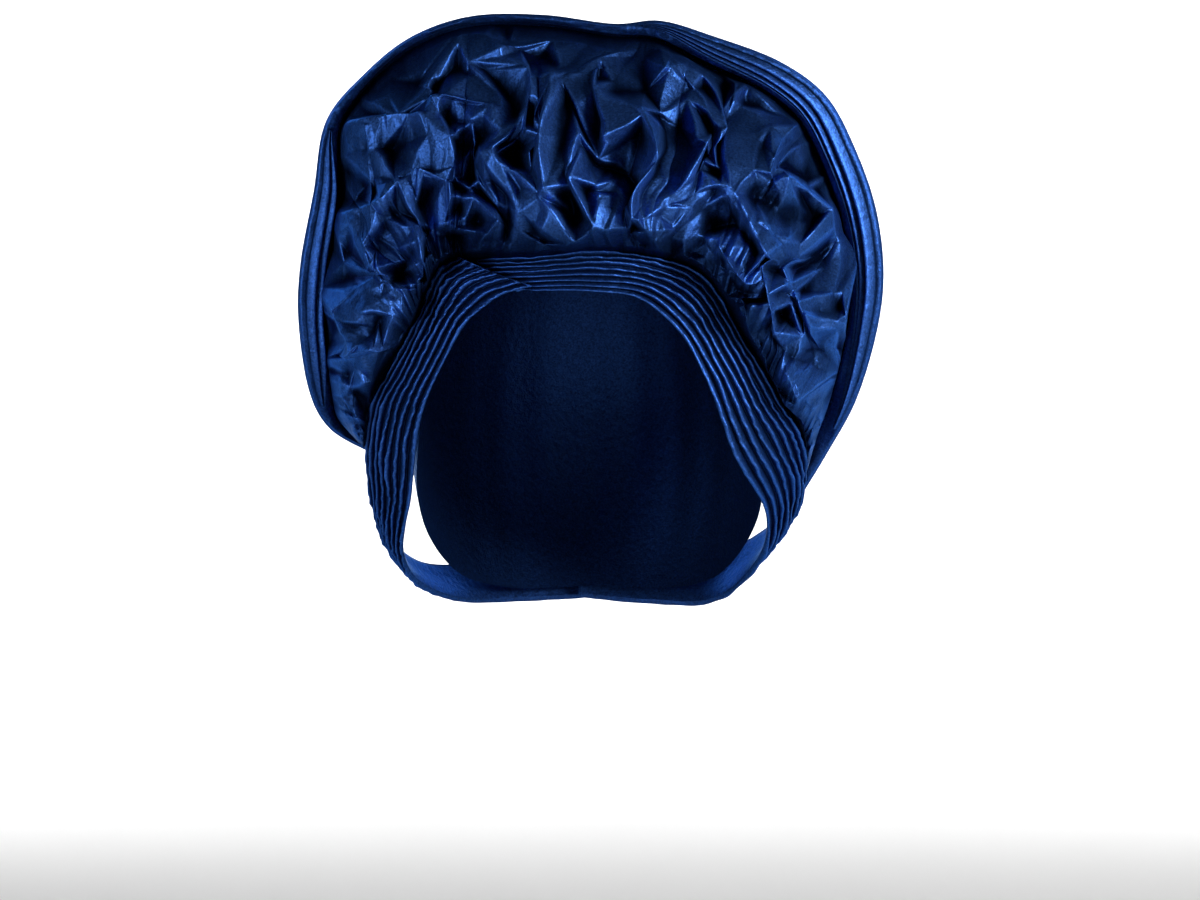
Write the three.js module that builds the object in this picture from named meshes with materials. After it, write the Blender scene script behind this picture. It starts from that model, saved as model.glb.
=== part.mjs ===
// A pre-tied head tie of stiff, glossy cloth: a hood for the head, two pleated wraps that cross on the
// forehead, a wide stiff fan behind them, and crumpled ruffles that fill the front of the fan.
// Millimetres. +Z is up and the face looks along -Y. The origin is where the top of the head touches the
// hood.
import * as THREE from "three";
import { mergeVertices } from "three/addons/utils/BufferGeometryUtils.js";

const { degToRad, lerp, clamp } = THREE.MathUtils;

// The hollow for the head
const headWidth = 156;
const headLength = 196;
const crownToTemple = 95;
const templeToNeck = 125;

// The whole tie, seen from the front
const tieWidth = 258;
const tieHeight = 259;
const topAboveCrown = 80.5;
const bandReach = 178;

// Cloth
const cloth = 2;
const seat = 0.3;

// The pleated wraps
const wrapWall = 2.2;
const wrapLift = 16;
const wrapBulge = 2;
const pleatCount = 8;
const pleatRise = 1.6;
const pleatLap = 0.82;
const wrapSteps = 32;

// The fan
const rimDepth = 26;
const rollDepth = 4.5;
const rollWidth = 2.4;
const hemFall = 0.4;
const fanBulge = 48;
const fanSideBulge = 5;
const fanFullest = 0.55;
const fanFoldCount = 12;
const fanFoldRise = 2.4;
const seatAround = 112;
const seatDropSide = 124;
const seatDropBack = 74;
const fanSteps = 46;
const fanRows = 6;

// The folds that lie on the rim
const rimPleatWall = 1.4;
const rimPleatRise = 1.8;
const rimPleatGap = 0.5;
const rimPleatTip = 0.24;
const rimPleatTipWidth = 0.35;

// The ruffles
const ruffleWall = 2.2;
const ruffleTuck = 2;
const lobeGap = 0.024;
const ruffleEase = 1.5;
const rufflePuff = 17;
const foldRise = 17;
const foldSpread = 1.5;
const foldLeast = 9;
const edgeFade = 0.16;
const crimpRise = 1.6;
const ruffleRows = 13;

// The hood's shallow gathers at the back
const gatherCount = 12;
const gatherRise = 0.9;
const gatherFall = 3;
const hoodTurns = 36;
const hoodRings = 7;

const tieBlue = 0x16357f;
const deepBlue = 0x10275f;

// Points of a mesh closer than this are one point.
const mergeWithin = 1e-4;

/** Turns a list of rows into objects, one value for each named column. */
function table(columns, rows) {
  return rows.map((row) => Object.fromEntries(columns.map((name, i) => [name, row[i]])));
}

// The face edge of each wrap and its outer edge, from the crossing on the forehead to the nape.
// around and outAround are degrees from the middle of the face, drop and outDrop shares of bandReach,
// and inLift and outLift shares of wrapLift.
const wrapColumns = ["around", "drop", "outAround", "outDrop", "inLift", "outLift"];
const rightWrap = table(wrapColumns, [
  [-26, 0.238, -50, 0.158, 0, 0.22],
  [-19, 0.225, -24, 0.157, 0, 0.3],
  [0, 0.23, 4, 0.143, 0, 0.36],
  [17, 0.247, 25, 0.154, 0, 0.43],
  [30, 0.331, 41, 0.195, 0, 0.5],
  [38, 0.433, 50, 0.352, 0, 0.6],
  [44, 0.545, 61, 0.483, 0, 0.72],
  [51, 0.635, 73, 0.556, 0, 0.8],
  [62, 0.702, 84, 0.63, 0.02, 0.85],
  [84, 0.787, 97, 0.73, 0.08, 0.92],
  [106, 0.89, 116, 0.8, 0.3, 0.9],
  [130, 0.985, 136, 0.87, 0.42, 0.7],
  [157, 0.99, 159, 0.86, 0.12, 0.4],
  [184, 0.975, 184, 0.85, 0, 0.12],
]);
const leftWrap = table(wrapColumns, [
  [-19, 0.224, -52, 0.152, 0.34, 0.7],
  [-31, 0.246, -59, 0.18, 0.33, 0.68],
  [-42, 0.292, -61, 0.24, 0.12, 0.62],
  [-50, 0.37, -62, 0.32, 0.04, 0.66],
  [-58, 0.46, -68, 0.405, 0, 0.76],
  [-64, 0.545, -79, 0.483, 0, 0.88],
  [-71, 0.64, -87, 0.618, 0, 1.05],
  [-79, 0.725, -92, 0.71, 0.05, 1.1],
  [-88, 0.798, -98, 0.775, 0.3, 1.1],
  [-96, 0.868, -106, 0.838, 0.6, 1.1],
  [-108, 0.935, -120, 0.895, 0.72, 1],
  [-128, 0.982, -138, 0.9, 0.55, 0.8],
  [-156, 0.985, -160, 0.87, 0.42, 0.6],
  [-184, 0.975, -184, 0.85, 0.42, 0.54],
]);

// The hood's free edge, once round the head from the middle of the forehead.
const hoodEdge = table(["around", "drop"], [
  [0, 0.212],
  [20, 0.23],
  [34, 0.325],
  [42, 0.425],
  [49, 0.538],
  [57, 0.622],
  [72, 0.695],
  [92, 0.785],
  [120, 0.93],
  [150, 0.965],
  [180, 0.96],
  [210, 0.965],
  [240, 0.93],
  [262, 0.83],
  [275, 0.735],
  [285, 0.645],
  [292, 0.55],
  [299, 0.46],
  [307, 0.365],
  [315, 0.285],
  [326, 0.235],
  [341, 0.212],
  [360, 0.212],
]);

// The fan's rim from the lower left, over the top, to the lower right. across and down are shares of
// tieWidth and tieHeight from the top left corner of the front view, and lip is the width of the turned
// hem as a share of tieWidth. back is how far behind the middle of the head the rim stands, as a share of
// rimDepth, and is negative where it leans forwards. foot is where on a wrap's outer edge, as a share of the
// wrap's length, the ruffle beside it starts, and side says which wrap: -1 for the left one, 1 for the right.
const rim = table(["across", "down", "lip", "back", "side", "foot"], [
  [0.123, 0.74, 0.015, 0.95, -1, 0.5],
  [0.055, 0.7, 0.02, 0.6, -1, 0.46],
  [0.02, 0.635, 0.036, 0.2, -1, 0.417],
  [0.003, 0.52, 0.042, -0.15, -1, 0.333],
  [0.007, 0.42, 0.044, -0.4, -1, 0.25],
  [0.03, 0.3, 0.04, -0.65, -1, 0.2],
  [0.052, 0.18, 0.025, -0.85, -1, 0.16],
  [0.12, 0.098, 0.015, -1, -1, 0.09],
  [0.2, 0.037, 0.013, -1.15, -1, 0.03],
  [0.3, 0.004, 0.013, -1.25, -1, 0],
  [0.42, 0.002, 0.015, -1.3, 1, 0.05],
  [0.54, 0.017, 0.018, -1.3, 1, 0.133],
  [0.62, 0.012, 0.03, -1.28, 1, 0.19],
  [0.71, 0.038, 0.045, -1.22, 1, 0.25],
  [0.82, 0.079, 0.055, -1.1, 1, 0.317],
  [0.9, 0.137, 0.06, -0.95, 1, 0.358],
  [0.95, 0.225, 0.06, -0.75, 1, 0.4],
  [0.987, 0.33, 0.06, -0.55, 1, 0.433],
  [1, 0.44, 0.056, -0.35, 1, 0.483],
  [0.988, 0.54, 0.05, -0.1, 1, 0.525],
  [0.955, 0.65, 0.042, 0.2, 1, 0.575],
  [0.91, 0.735, 0.03, 0.6, 1, 0.65],
  [0.865, 0.81, 0.02, 0.95, 1, 0.733],
]);
const rimRows = rim.length - 1;

// The strips of folds that lie on the rim, from one of its rows to another. near and far are how far in
// from the rim's outer edge they reach, as shares of the hem's width.
const rimStrips = table(["name", "from", "to", "near", "far", "pleats", "steps"], [
  ["rim_pleat_left", 1.6, 5.9, 0.2, 0.96, 2, 14],
  ["rim_pleats_right", 11.6, 20.6, 0.16, 0.84, 4, 28],
]);

// The ruffle's five lobes, from one row of the rim to another, with lobeGap rows left free at each end.
// startPuff, puff and endPuff are how far a lobe swells at its two seams and between them, as shares of
// rufflePuff, and columns is the number of facets along it.
const lobes = table(["name", "from", "to", "startPuff", "puff", "endPuff", "columns"], [
  ["ruffle_lower_left", 1, 5.3, 0, 0.8, 0.45, 18],
  ["ruffle_upper_left", 5.3, 9, 0.45, 0.75, 0.55, 16],
  ["ruffle_centre", 9, 12.6, 0.55, 1.2, 0.6, 18],
  ["ruffle_upper_right", 12.6, 17, 0.6, 0.85, 0.5, 20],
  ["ruffle_lower_right", 17, 21, 0.5, 0.85, 0, 18],
]);

// The main folds of the ruffles: a crest from one point to another, both as shares of tieWidth and
// tieHeight like the rim, with its rise as a share of foldRise. left and right are how far the cloth
// falls away on each side of someone who walks along the crest, as shares of tieWidth.
const foldColumns = ["fromAcross", "fromDown", "toAcross", "toDown", "rise", "left", "right"];
const folds = table(foldColumns, [
  [0.373, 0.09, 0.378, 0.2, 1, 0.02, 0.07],
  [0.39, 0.11, 0.41, 0.22, 0.8, 0.02, 0.03],
  [0.448, 0.12, 0.437, 0.31, 1.1, 0.04, 0.035],
  [0.455, 0.11, 0.53, 0.24, 0.8, 0.035, 0.02],
  [0.525, 0.13, 0.532, 0.21, 0.9, 0.03, 0.03],
  [0.56, 0.185, 0.6, 0.28, 1.2, 0.05, 0.06],
  [0.6, 0.28, 0.592, 0.35, 1.1, 0.06, 0.03],
  [0.685, 0.21, 0.66, 0.29, 1, 0.02, 0.07],
  [0.483, 0.275, 0.518, 0.365, 0.9, 0.03, 0.03],
  [0.335, 0.23, 0.39, 0.33, 0.9, 0.04, 0.025],
  [0.39, 0.33, 0.47, 0.39, 0.7, 0.03, 0.02],
  [0.36, 0.035, 0.5, 0.035, 0.5, 0.03, 0.03],
  [0.46, 0.1, 0.55, 0.05, 0.7, 0.04, 0.035],
  [0.3, 0.03, 0.26, 0.12, 0.4, 0.05, 0.04],
  [0.13, 0.135, 0.195, 0.185, 0.6, 0.04, 0.04],
  [0.105, 0.19, 0.215, 0.19, 0.75, 0.02, 0.07],
  [0.225, 0.165, 0.262, 0.255, 0.8, 0.03, 0.04],
  [0.23, 0.162, 0.325, 0.167, 0.8, 0.015, 0.05],
  [0.18, 0.275, 0.27, 0.255, 0.7, 0.03, 0.03],
  [0.09, 0.35, 0.19, 0.305, 0.8, 0.025, 0.05],
  [0.213, 0.288, 0.265, 0.308, 0.9, 0.02, 0.06],
  [0.3, 0.31, 0.335, 0.365, 0.7, 0.02, 0.04],
  [0.193, 0.365, 0.203, 0.45, 0.9, 0.02, 0.05],
  [0.128, 0.375, 0.15, 0.42, 0.7, 0.03, 0.03],
  [0.135, 0.45, 0.18, 0.49, 0.8, 0.03, 0.05],
  [0.05, 0.455, 0.09, 0.52, 0.7, 0.04, 0.03],
  [0.09, 0.555, 0.145, 0.555, 0.8, 0.03, 0.02],
  [0.05, 0.6, 0.145, 0.585, 0.9, 0.02, 0.05],
  [0.63, 0.093, 0.685, 0.18, 0.6, 0.03, 0.04],
  [0.66, 0.09, 0.725, 0.2, 0.7, 0.02, 0.04],
  [0.756, 0.148, 0.732, 0.265, 0.8, 0.03, 0.03],
  [0.76, 0.125, 0.86, 0.155, 0.5, 0.02, 0.04],
  [0.825, 0.19, 0.785, 0.265, 0.9, 0.03, 0.06],
  [0.73, 0.285, 0.81, 0.395, 1, 0.05, 0.03],
  [0.825, 0.295, 0.9, 0.35, 0.9, 0.03, 0.05],
  [0.8, 0.345, 0.86, 0.405, 0.9, 0.03, 0.03],
  [0.735, 0.395, 0.775, 0.445, 0.9, 0.025, 0.025],
  [0.755, 0.45, 0.805, 0.465, 0.7, 0.02, 0.03],
  [0.73, 0.5, 0.805, 0.51, 0.7, 0.025, 0.03],
  [0.812, 0.43, 0.82, 0.545, 1, 0.05, 0.02],
  [0.845, 0.42, 0.89, 0.535, 1, 0.035, 0.03],
  [0.93, 0.4, 0.915, 0.53, 1, 0.02, 0.035],
  [0.83, 0.59, 0.865, 0.635, 0.9, 0.03, 0.03],
  [0.8, 0.62, 0.86, 0.655, 0.7, 0.02, 0.02],
]);

/** A table's row at a share of its length, every column on one smooth curve. */
function rowAt(rows, share) {
  const spans = rows.length - 1;
  const place = clamp(share, 0, 1) * spans;
  const start = Math.min(Math.floor(place), spans - 1);
  const step = place - start;
  const at = (i) => rows[clamp(i, 0, spans)];
  const found = {};
  for (const name of Object.keys(rows[0])) {
    const [a, b, c, d] = [-1, 0, 1, 2].map((k) => at(start + k)[name]);
    const slopeIn = (c - a) / 2;
    const slopeOut = (d - b) / 2;
    const s2 = step * step;
    const s3 = s2 * step;
    const before = (2 * s3 - 3 * s2 + 1) * b + (s3 - 2 * s2 + step) * slopeIn;
    const after = (3 * s2 - 2 * s3) * c + (s3 - s2) * slopeOut;
    found[name] = before + after;
  }
  return found;
}

/** A point on the form of the head, at a height and a turn from the face, lifted off it. */
function onHead(around, height, lift) {
  const tall = (height < -crownToTemple ? templeToNeck : crownToTemple) + lift;
  const level = (height + crownToTemple) / tall;
  const girth = Math.sqrt(Math.max(0, 1 - level * level));
  const turn = degToRad(around);
  return new THREE.Vector3(
    (headWidth / 2 + lift) * girth * Math.sin(turn),
    -(headLength / 2 + lift) * girth * Math.cos(turn),
    height,
  );
}

/** A closed solid between two grids of points, the outer and the inner one, with its edges joined. */
function solidBetween(outer, inner, ring = false) {
  const lines = outer.length;
  const points = [...outer.flat(), ...inner.flat()];
  const wide = outer[0].length;
  const deep = inner[0].length;
  const first = lines * wide;
  const out = (i, j) => i * wide + j;
  const back = (i, j) => first + i * deep + j;
  const faces = [];
  const quad = (a, b, c, d) => faces.push([a, b, c], [a, c, d]);
  for (let i = 0; i < lines - 1; i++) {
    for (let j = 0; j < wide - 1; j++) quad(out(i, j), out(i + 1, j), out(i + 1, j + 1), out(i, j + 1));
    for (let j = 0; j < deep - 1; j++) quad(back(i, j), back(i, j + 1), back(i + 1, j + 1), back(i + 1, j));
    quad(out(i, 0), back(i, 0), back(i + 1, 0), out(i + 1, 0));
    quad(out(i, wide - 1), out(i + 1, wide - 1), back(i + 1, deep - 1), back(i, deep - 1));
  }
  const endCap = (i, turned) => {
    let [j, k] = [0, 0];
    while (j < wide - 1 || k < deep - 1) {
      const outerNext = k === deep - 1 || (j < wide - 1 && (j + 1) / (wide - 1) <= (k + 1) / (deep - 1));
      const next = outerNext ? out(i, j + 1) : back(i, k + 1);
      faces.push(turned ? [out(i, j), next, back(i, k)] : [out(i, j), back(i, k), next]);
      if (outerNext) j++;
      else k++;
    }
  };
  if (!ring) {
    endCap(0, true);
    endCap(lines - 1, false);
  }
  return facingOut(points, faces);
}

/** The geometry of a closed body, its repeated points merged and its faces turned outwards. */
function facingOut(points, faces) {
  let geometry = new THREE.BufferGeometry().setFromPoints(points);
  geometry.setIndex(faces.flat());
  geometry = mergeVertices(geometry, mergeWithin);
  const index = geometry.index.array;
  const place = (i) => new THREE.Vector3().fromBufferAttribute(geometry.attributes.position, i);
  const kept = [];
  let volume = 0;
  for (let i = 0; i < index.length; i += 3) {
    const [a, b, c] = index.slice(i, i + 3);
    if (a === b || b === c || c === a) continue;
    kept.push([a, b, c]);
    volume += place(a).dot(place(b).cross(place(c)));
  }
  geometry.setIndex((volume < 0 ? kept.map(([a, b, c]) => [a, c, b]) : kept).flat());
  geometry.computeVertexNormals();
  return geometry;
}

/** The unit normals of a grid of points, from the points on each side. */
function gridNormals(grid) {
  return grid.map((line, i) =>
    line.map((_, j) => {
      const before = grid[Math.max(i - 1, 0)][j];
      const after = grid[Math.min(i + 1, grid.length - 1)][j];
      const low = line[Math.max(j - 1, 0)];
      const high = line[Math.min(j + 1, line.length - 1)];
      return after.clone().sub(before).cross(high.clone().sub(low)).normalize();
    }),
  );
}

/** Evenly spaced shares from 0 to 1. */
function shares(count) {
  return Array.from({ length: count + 1 }, (_, i) => i / count);
}

/** Where the sections of a pleated strip lie across it: two for each pleat, and the last edge. */
function pleatStations(count) {
  const stations = [];
  for (let k = 0; k < count; k++) stations.push([k / count, 1], [(k + pleatLap) / count, 0]);
  stations.push([1, 0]);
  return stations;
}

/** A strip with knife pleats on one face. place gives the plain face's point along and across it. */
function pleatedStrip(place, steps, count, wall, rise, turned) {
  const stations = pleatStations(count);
  const plain = shares(steps).map((along) => stations.map(([across]) => place(along, across)));
  const normals = gridNormals(plain);
  const sign = turned ? -1 : 1;
  const heights = stations.map(([, raised]) => sign * (wall + rise * raised));
  const pleated = plain.map((line, i) =>
    line.map((point, j) => point.clone().addScaledVector(normals[i][j], heights[j])),
  );
  const backEdge = plain.map((line) => [line[0], line[Math.floor(line.length / 2)], line[line.length - 1]]);
  return solidBetween(pleated, backEdge);
}

/** A point on a wrap's inner face, or off it: along from the crossing, across from the face edge. */
function wrapPoint(rows, along, across, off = 0) {
  const row = rowAt(rows, along);
  const lift = lerp(row.inLift, row.outLift, across) * wrapLift + wrapBulge * Math.sin(Math.PI * across);
  return onHead(
    lerp(row.around, row.outAround, across),
    -lerp(row.drop, row.outDrop, across) * bandReach,
    cloth + seat + lift + off,
  );
}

/** A wrap: a pleated band round the head's opening, turned where its rows run the other way round. */
function wrap(rows, turned) {
  const place = (along, across) => wrapPoint(rows, along, across);
  return pleatedStrip(place, wrapSteps, pleatCount, wrapWall, pleatRise, turned);
}

/** The hood over the crown and the back of the head, with shallow gathers between the fan and the nape. */
function hood() {
  const wall = (lift, gathers) =>
    shares(hoodTurns).map((turn) => {
      const { around, drop } = rowAt(hoodEdge, turn);
      const behind = Math.max(0, -Math.cos(degToRad(around)));
      return shares(hoodRings).map((down) => {
        const low = Math.sin(Math.PI * down ** gatherFall);
        const gather = gathers * behind * low * Math.cos(degToRad(around) * gatherCount);
        return onHead(around, heightAlong(-drop * bandReach, down, lift), lift + gather);
      });
    });
  return solidBetween(wall(cloth, gatherRise), wall(0, 0), true);
}

/** The height of a point part of the way down from the crown to a low edge, in even steps on the curve. */
function heightAlong(low, share, lift) {
  const tall = (low < -crownToTemple ? templeToNeck : crownToTemple) + lift;
  const lastAngle = Math.acos(clamp((low + crownToTemple) / tall, -1, 1));
  const angle = lastAngle * share;
  const reach = angle > Math.PI / 2 ? templeToNeck + lift : crownToTemple + lift;
  return -crownToTemple + reach * Math.cos(angle);
}

/** The rim at a share of its length: its outermost point, the way outwards in the front view, and the hem. */
function rimAt(share) {
  const sideStep = 0.01;
  const frontPoint = (row) => [(row.across - 0.5) * tieWidth, topAboveCrown - row.down * tieHeight];
  const row = rowAt(rim, share);
  const [x, z] = frontPoint(row);
  const [x0, z0] = frontPoint(rowAt(rim, share - sideStep));
  const [x1, z1] = frontPoint(rowAt(rim, share + sideStep));
  const outwards = new THREE.Vector3(z0 - z1, 0, x1 - x0).normalize();
  return { point: new THREE.Vector3(x, row.back * rimDepth, z), outwards, lip: row.lip * tieWidth };
}

/** A point of the turned hem's front, from the rim's outer edge at 0 to the hem's inner edge at 1. */
function hemPoint(share, inwards) {
  const { point, outwards, lip } = rimAt(share);
  const forward = rollDepth * (1 - hemFall * inwards ** 2);
  return point
    .clone()
    .addScaledVector(outwards, -lerp(rollWidth / 2, lip, inwards))
    .add(new THREE.Vector3(0, -forward, 0));
}

/** Where the fan's back edge lies on the hood. */
function fanSeat(share) {
  const around = -lerp(seatAround, 360 - seatAround, share);
  const drop = lerp(seatDropSide, seatDropBack, Math.sin(Math.PI * share));
  return onHead(around, -drop, 2 * cloth + seat);
}

/** The fan: a turned hem, a rolled rim, and a back that runs to its seat on the hood in soft radial folds. */
function fan() {
  const hemSpans = 2;
  const grid = shares(fanSteps).map((share) => {
    const { point, outwards } = rimAt(share);
    const hem = shares(hemSpans).map((outer) => hemPoint(share, 1 - outer));
    const rollBack = point
      .clone()
      .addScaledVector(outwards, -rollWidth)
      .add(new THREE.Vector3(0, rollDepth, 0));
    const foot = fanSeat(share);
    const bulge = fanSideBulge + fanBulge * Math.sin(Math.PI * share) ** 2;
    const middle = rollBack.clone().lerp(foot, fanFullest).add(new THREE.Vector3(0, bulge, 0));
    const back = new THREE.QuadraticBezierCurve3(rollBack, middle, foot);
    const wave = Math.cos(2 * Math.PI * fanFoldCount * share);
    const rest = shares(fanRows).map((down) => {
      const rise = fanFoldRise * wave * Math.sin(Math.PI * down);
      return back.getPoint(down).add(new THREE.Vector3(0, rise, 0));
    });
    return [...hem, point.clone(), ...rest];
  });
  const normals = gridNormals(grid);
  const inner = grid.map((line, i) =>
    line.map((point, j) => point.clone().addScaledVector(normals[i][j], -cloth)),
  );
  return solidBetween(grid, inner);
}

/** Pleats that lie on the turned hem. They open out from a narrow tip at each end of the strip. */
function rimPleats({ from, to, near, far, pleats, steps }) {
  const place = (along, across) => {
    const open = Math.min(1, along / rimPleatTip, (1 - along) / rimPleatTip);
    const width = (far - near) * lerp(rimPleatTipWidth, 1, Math.sin((Math.PI / 2) * open));
    const point = hemPoint(lerp(from, to, along) / rimRows, near + width * (1 - across));
    point.y -= rimPleatGap;
    return point;
  };
  return pleatedStrip(place, steps, pleats, rimPleatWall, rimPleatRise, false);
}

/** Where the ruffle starts beside a wrap's outer edge, and the crossing's short edge between the wraps. */
function rufflesFoot(row) {
  const lastLeft = rim.findLastIndex((entry) => entry.side < 0);
  const edge = (side, along) => {
    const rows = side < 0 ? leftWrap : rightWrap;
    return wrapPoint(rows, along, 1, wrapWall);
  };
  const start = Math.floor(Math.min(row, rimRows - 1));
  const [a, b] = [rim[start], rim[start + 1]];
  const step = row - start;
  if (start === lastLeft) return edge(-1, a.foot).lerp(edge(1, b.foot), step);
  return edge(a.side, lerp(a.foot, b.foot, step));
}

/** How far the folds lift the cloth at a point of the front view. */
function foldLift(x, z) {
  let lift = 0;
  for (const fold of folds) {
    const ax = (fold.fromAcross - 0.5) * tieWidth;
    const az = topAboveCrown - fold.fromDown * tieHeight;
    const bx = (fold.toAcross - 0.5) * tieWidth;
    const bz = topAboveCrown - fold.toDown * tieHeight;
    const length = Math.hypot(bx - ax, bz - az);
    const [ux, uz] = [(bx - ax) / length, (bz - az) / length];
    const along = clamp((x - ax) * ux + (z - az) * uz, 0, length);
    const away = Math.hypot(x - ax - along * ux, z - az - along * uz);
    const toLeft = away > 0 ? ((z - az) * ux - (x - ax) * uz) / away : 0;
    const width = foldSpread * lerp(fold.right, fold.left, (1 + toLeft) / 2) * tieWidth;
    lift = Math.max(lift, fold.rise * (1 - away / Math.max(foldLeast, width)));
  }
  return foldRise * lift;
}

/** A point on the front of the ruffles: along the rim by its rows, and out from the wraps to the hem. */
function rufflePoint(row, out, lobe) {
  const foot = rufflesFoot(row);
  const edge = hemPoint(row / rimRows, 1);
  const across = new THREE.Vector3(edge.x - foot.x, 0, edge.z - foot.z);
  const tuck = across.clone().setLength(ruffleTuck);
  const start = foot.clone().add(tuck);
  const end = edge.clone().sub(tuck);
  const point = start.clone().lerp(end, out);
  const lobeShare = clamp((row - lobe.from) / (lobe.to - lobe.from), 0, 1);
  const seamPuff = lobeShare < 0.5 ? lobe.startPuff : lobe.endPuff;
  const swelling = lerp(seamPuff, lobe.puff, Math.sqrt(Math.sin(Math.PI * lobeShare)));
  const puff = rufflePuff * swelling * Math.sin(Math.PI * out);
  const crimp = crimpRise * Math.cos(Math.PI * lobe.columns * lobeShare) * (1 - out) ** 2;
  const fade = Math.min(1, out / edgeFade, (1 - out) / edgeFade);
  const relief = fade * (foldLift(point.x, point.z) + crimp);
  point.y = lerp(start.y, end.y + ruffleWall, out ** ruffleEase) - puff - relief;
  return point;
}

/** One lobe of the ruffles, a crumpled wall of cloth. */
function ruffle(lobe) {
  const grid = (behind) =>
    shares(lobe.columns).map((share) =>
      shares(ruffleRows).map((out) => {
        const point = rufflePoint(lerp(lobe.from + lobeGap, lobe.to - lobeGap, share), out, lobe);
        point.y += behind;
        return point;
      }),
    );
  return solidBetween(grid(0), grid(ruffleWall));
}

/** A named mesh in the tie's own cloth. */
function piece(name, geometry, color = tieBlue) {
  const material = new THREE.MeshStandardMaterial({ color, roughness: 0.42, metalness: 0.35 });
  const mesh = new THREE.Mesh(geometry, material);
  mesh.name = name;
  return mesh;
}

const headTie = new THREE.Group();
headTie.add(piece("hood", hood(), deepBlue));
headTie.add(piece("wrap_right", wrap(rightWrap, false)));
headTie.add(piece("wrap_left", wrap(leftWrap, true)));
headTie.add(piece("fan", fan(), deepBlue));
for (const strip of rimStrips) headTie.add(piece(strip.name, rimPleats(strip)));
for (const lobe of lobes) headTie.add(piece(lobe.name, ruffle(lobe)));

export default headTie;
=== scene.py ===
"""The finished look of a pre-tied head tie: glossy cloth in fine pleats, a fan and crumpled ruffles."""
import math
import bpy
import numpy as np
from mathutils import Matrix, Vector
from mathutils.bvhtree import BVHTree
from mathutils.geometry import delaunay_2d_cdt


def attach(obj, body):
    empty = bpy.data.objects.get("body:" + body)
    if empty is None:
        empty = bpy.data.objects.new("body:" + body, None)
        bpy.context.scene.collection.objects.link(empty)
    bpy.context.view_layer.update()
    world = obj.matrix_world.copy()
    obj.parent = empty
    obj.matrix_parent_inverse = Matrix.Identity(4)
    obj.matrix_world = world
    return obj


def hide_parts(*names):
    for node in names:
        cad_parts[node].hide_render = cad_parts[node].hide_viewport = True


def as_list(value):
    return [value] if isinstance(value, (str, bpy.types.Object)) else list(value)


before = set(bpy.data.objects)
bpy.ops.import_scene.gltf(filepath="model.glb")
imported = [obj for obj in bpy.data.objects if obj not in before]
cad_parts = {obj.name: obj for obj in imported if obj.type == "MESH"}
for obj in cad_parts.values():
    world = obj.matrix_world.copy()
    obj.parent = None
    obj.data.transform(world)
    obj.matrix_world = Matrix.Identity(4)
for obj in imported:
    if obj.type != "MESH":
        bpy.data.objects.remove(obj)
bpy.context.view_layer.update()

# Sizes are in millimetres and are turned into metres where a mesh is made.
MM = 0.001

# The hollow for the head
HEAD_WIDTH = 156
HEAD_LENGTH = 196
CROWN_TO_TEMPLE = 95
TEMPLE_TO_NECK = 125

# The whole tie, seen from the front
TIE_WIDTH = 258
TIE_HEIGHT = 259
TOP_ABOVE_CROWN = 80.5
BAND_REACH = 178

# Cloth
CLOTH = 2
SEAT = 0.3

# Uneven lines are sums of waves, each with a length from this range of the length asked for.
WAVE_COUNT = 5
WAVE_RANGE = (0.6, 1.7)

# The hood, with its distance from the head as a share of the cloth, its first ring as a share of the way
# down from the crown, and the shallow gathers at the back
HOOD_SKIN_SHARE = 0.6
HOOD_FIRST_RING = 0.004
HOOD_GATHER_RISE = 0.4
HOOD_GATHER_COUNT = 24
HOOD_LINES = 260
HOOD_RINGS = 90

# The pleated wraps, where the pleats rise further than on the solids because they start from a thin wall
WRAP_WALL = 2.2
WRAP_LIFT = 16
WRAP_BULGE = 2
WRAP_LENGTH = 340
WRAP_STEPS = 520
PLEAT_COUNT = 8
PLEAT_RISE = 2.1
PLEAT_WALL = 0.5
PLEAT_EXTRA = 1.4

# The fan
RIM_DEPTH = 26
RIM_LENGTH = 580
ROLL_DEPTH = 4.5
ROLL_WIDTH = 2.4
HEM_FALL = 0.4
FAN_BULGE = 48
FAN_SIDE_BULGE = 5
FAN_FULLEST = 0.55
FAN_FOLD_COUNT = 12
FAN_FOLD_RISE = 2.4
SEAT_AROUND = 112
SEAT_DROP_SIDE = 124
SEAT_DROP_BACK = 74
FAN_STEPS = 560
FAN_BACK_ROWS = 70

# The lines of the turned hem, from its inner edge at 1 to the rim at 0, and of the roll, in right angles.
HEM_LINES = (1.0, 0.85, 0.7, 0.55, 0.4, 0.25, 0.12, 0.0)
ROLL_TURNS = (0.35, 0.7, 1.0, 1.35, 1.7)

# The waves on the hem and on the fan's back: the seed, the length and the rise, and on the back how far the
# wave slants on the way to the hood and by which power of that way.
HEM_WAVES = [
    (5, 9, 0.35),
    (6, 28, 0.6),
]
FAN_WAVES = [
    (11, 34, 1.1, 40, 1),
    (12, 13, 0.45, 25, 2),
]

# The cloth that turns back behind the hem: how far it goes outwards and back at its edge and further in.
HEM_EDGE_OUT = 0.6
HEM_EDGE_BACK = 1.3
HEM_RETURN_OUT = 3.5
HEM_RETURN_SHARE = 0.6
HEM_RETURN_BACK = 2.2

# The folds that lie on the rim
RIM_PLEAT_RISE = 1.8
RIM_PLEAT_GAP = 0.6
RIM_PLEAT_TIP = 0.24
RIM_PLEAT_TIP_WIDTH = 0.35
RIM_PLEAT_WALL = 0.4
RIM_PLEAT_EXTRA = 1
RIM_PLEAT_PUCKER = 0.4
RIM_PLEAT_STEPS = 200
RIM_STEPS_PER_MM = 1.6

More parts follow.
